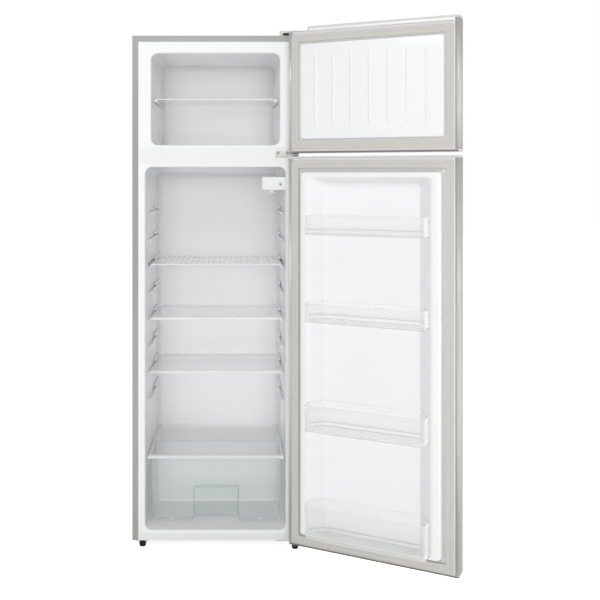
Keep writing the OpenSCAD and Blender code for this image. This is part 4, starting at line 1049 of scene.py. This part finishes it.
beads = []
for side in (-1, 1):
    for y in (low.y + R, high.y - R):
        beads.append(bead([(side * x, y, z) for x, _, z in drawer_outline(y, R)], R))
frame_path = [(-grip_half, low.z + R), (-grip_half, grip_top), (grip_half, grip_top), (grip_half, low.z + R)]
for y, inset in ((low.y + R, -R), (grip_back, 1 * MM)):
    path = filleted([(x - inset * (1 if x > 0 else -1), z - (inset if z > low.z + 10 * MM else 0))
                     for x, z in frame_path], [3 * MM] * 2, 4)
    beads.append(bead([(x, y, z) for x, z in path], R * 0.8))
beads.append(bead([(-foot_half, high.y - R, low.z + R), (foot_half, high.y - R, low.z + R)], R))
rim_path = rounded_rect(low.x + R, high.x - R, low.y + R, high.y - R, 4 * MM)
beads.append(bead([(x, y, high.z - R) for x, y in rim_path], R, closed=True))
make("crisper_edges", joined(beads), crisper_edge, "crisper", sharp=60)

# %% Edges of the bins
for number in range(1, 5):
    node = f"door_bin_{number}"
    low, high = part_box(node)
    measure = bin_measure(node)
    rows = ((high.z - 1.0 * MM, 0.9 * MM, 0.9 * MM), (low.z + 14 * MM, 1.6 * MM, 1.4 * MM))
    beads = [bead([(x, y, z) for x, y in bin_outline(measure, inset)], r, closed=True)
             for z, inset, r in rows]
    make(f"bin_{number}_edges", joined(beads), bin_edge, f"bin_{number}", swung=True, sharp=60)
    # The grey bead round the underside of each bin is painted shadow, the shade under its floor.
    shadow_bead = bead([(x, y, low.z + 1.2 * MM) for x, y in bin_outline(measure, 1.2 * MM)], 1.1 * MM, closed=True)
    make(f"bin_{number}_foot", shadow_bead, bin_shadow_bead, f"bin_{number}", swung=True, sharp=60)

# %% [markdown]
# ## Painted shade under the doors
# At the bottom of each door a thin dark strip sits just under the seal. It is painted shade: it
# stands for the shade under the lower edge of the end cap, not for a fold in the steel.

# %% Painted shade lines
for door in ("freezer_door", "fridge_door"):
    low, high = shut_box(door + "_skin")
    cap_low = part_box(door + "_caps")[0].z
    shade_strip = soft_block((low.x + 3 * MM, high.x - 3 * MM), (high.y - 1 * MM, high.y + 0.7 * MM),
                      (cap_low + 0.5 * MM, cap_low + 5 * MM), 0.3 * MM)
    make(door + "_shade_line", shade_strip, shade_line_grey, door, swung=True, sharp=50)

# %% [markdown]
# ## Small parts round the hinges and the compressor
# A dark moulded foot closes the gap between the cabinet's front edge and the cover of the top
# hinge. The compressor is two pressed cups welded together, so a bead of weld runs round its middle.

# %% Hinge foot and weld bead
cover_low, cover_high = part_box("top_hinge_cover")
foot_x = (cover_low.x + 8 * MM, cover_high.x - 12 * MM)
make("top_hinge_foot", soft_block(foot_x, (FRONT + 0.2 * MM, FRONT + 3 * MM),
                                  (shell_high.z, shell_high.z + 9 * MM), 0.8 * MM),
     black_moulding, "cabinet", sharp=50)
pump_low, pump_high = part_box("compressor")
can = corners("compressor")
can = can[can[:, 2] > pump_low.z + 30 * MM]
centre = (can.max(0) + can.min(0)) / 2
weld_r = (can.max(0) - can.min(0))[0] / 2 + 0.6 * MM
weld_z = between(pump_low.z, pump_high.z, 0.52)
weld = [(centre[0] + weld_r * cos(a), centre[1] + weld_r * sin(a), weld_z)
        for a in (2 * pi * k / 64 for k in range(64))]
make("compressor_weld", bead(weld, 2.4 * MM, closed=True), enamel_black, "cabinet", sharp=60)

# %% [markdown]
# Each front foot has a fluted collar above its pad, so that it can be turned by hand to level the
# cabinet. Two of every four points of its rings stand in, which makes the flutes.

# %% Foot collars
FLUTES = 20
FLUTE_DEPTH = 0.9 * MM


def foot_collar(node):
    """The fluted collar between the pad of a foot and the cabinet."""
    points = corners(node)
    middle = (points.max(0) + points.min(0)) / 2
    reach = np.hypot(points[:, 0] - middle[0], points[:, 1] - middle[1])
    pad_r = reach.max()
    pad_top = points[reach > pad_r - EDGE][:, 2].max()
    top = points[:, 2].max()
    rings = []
    for out, z in ((-1 * MM, pad_top - 0.3 * MM), (0.8 * MM, pad_top + 1 * MM),
                   (0.8 * MM, top - 1.5 * MM), (-1 * MM, top - 0.5 * MM)):
        ring = []
        for i in range(4 * FLUTES):
            angle = pi * i / (2 * FLUTES)
            r = pad_r + out - FLUTE_DEPTH * (i % 4 > 1)
            ring.append((middle[0] + r * cos(angle), middle[1] + r * sin(angle), z))
        rings.append(ring)
    return loft_data(rings, cap_first=True, cap_last=True)


for side in ("left", "right"):
    make(f"foot_{side}_collar", foot_collar(f"foot_{side}"), black_rubber, f"{side}_foot", sharp=40)

# %% Front edge of the freezer shelf
low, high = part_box("freezer_shelf")
half_t = (high.z - low.z) / 2
edge_path = [(x, low.y + half_t, low.z + half_t) for x in (low.x + half_t, high.x - half_t)]
make("freezer_shelf_edge", bead(edge_path, half_t, sides=12), trim_clear, "shelf_freezer", sharp=60)
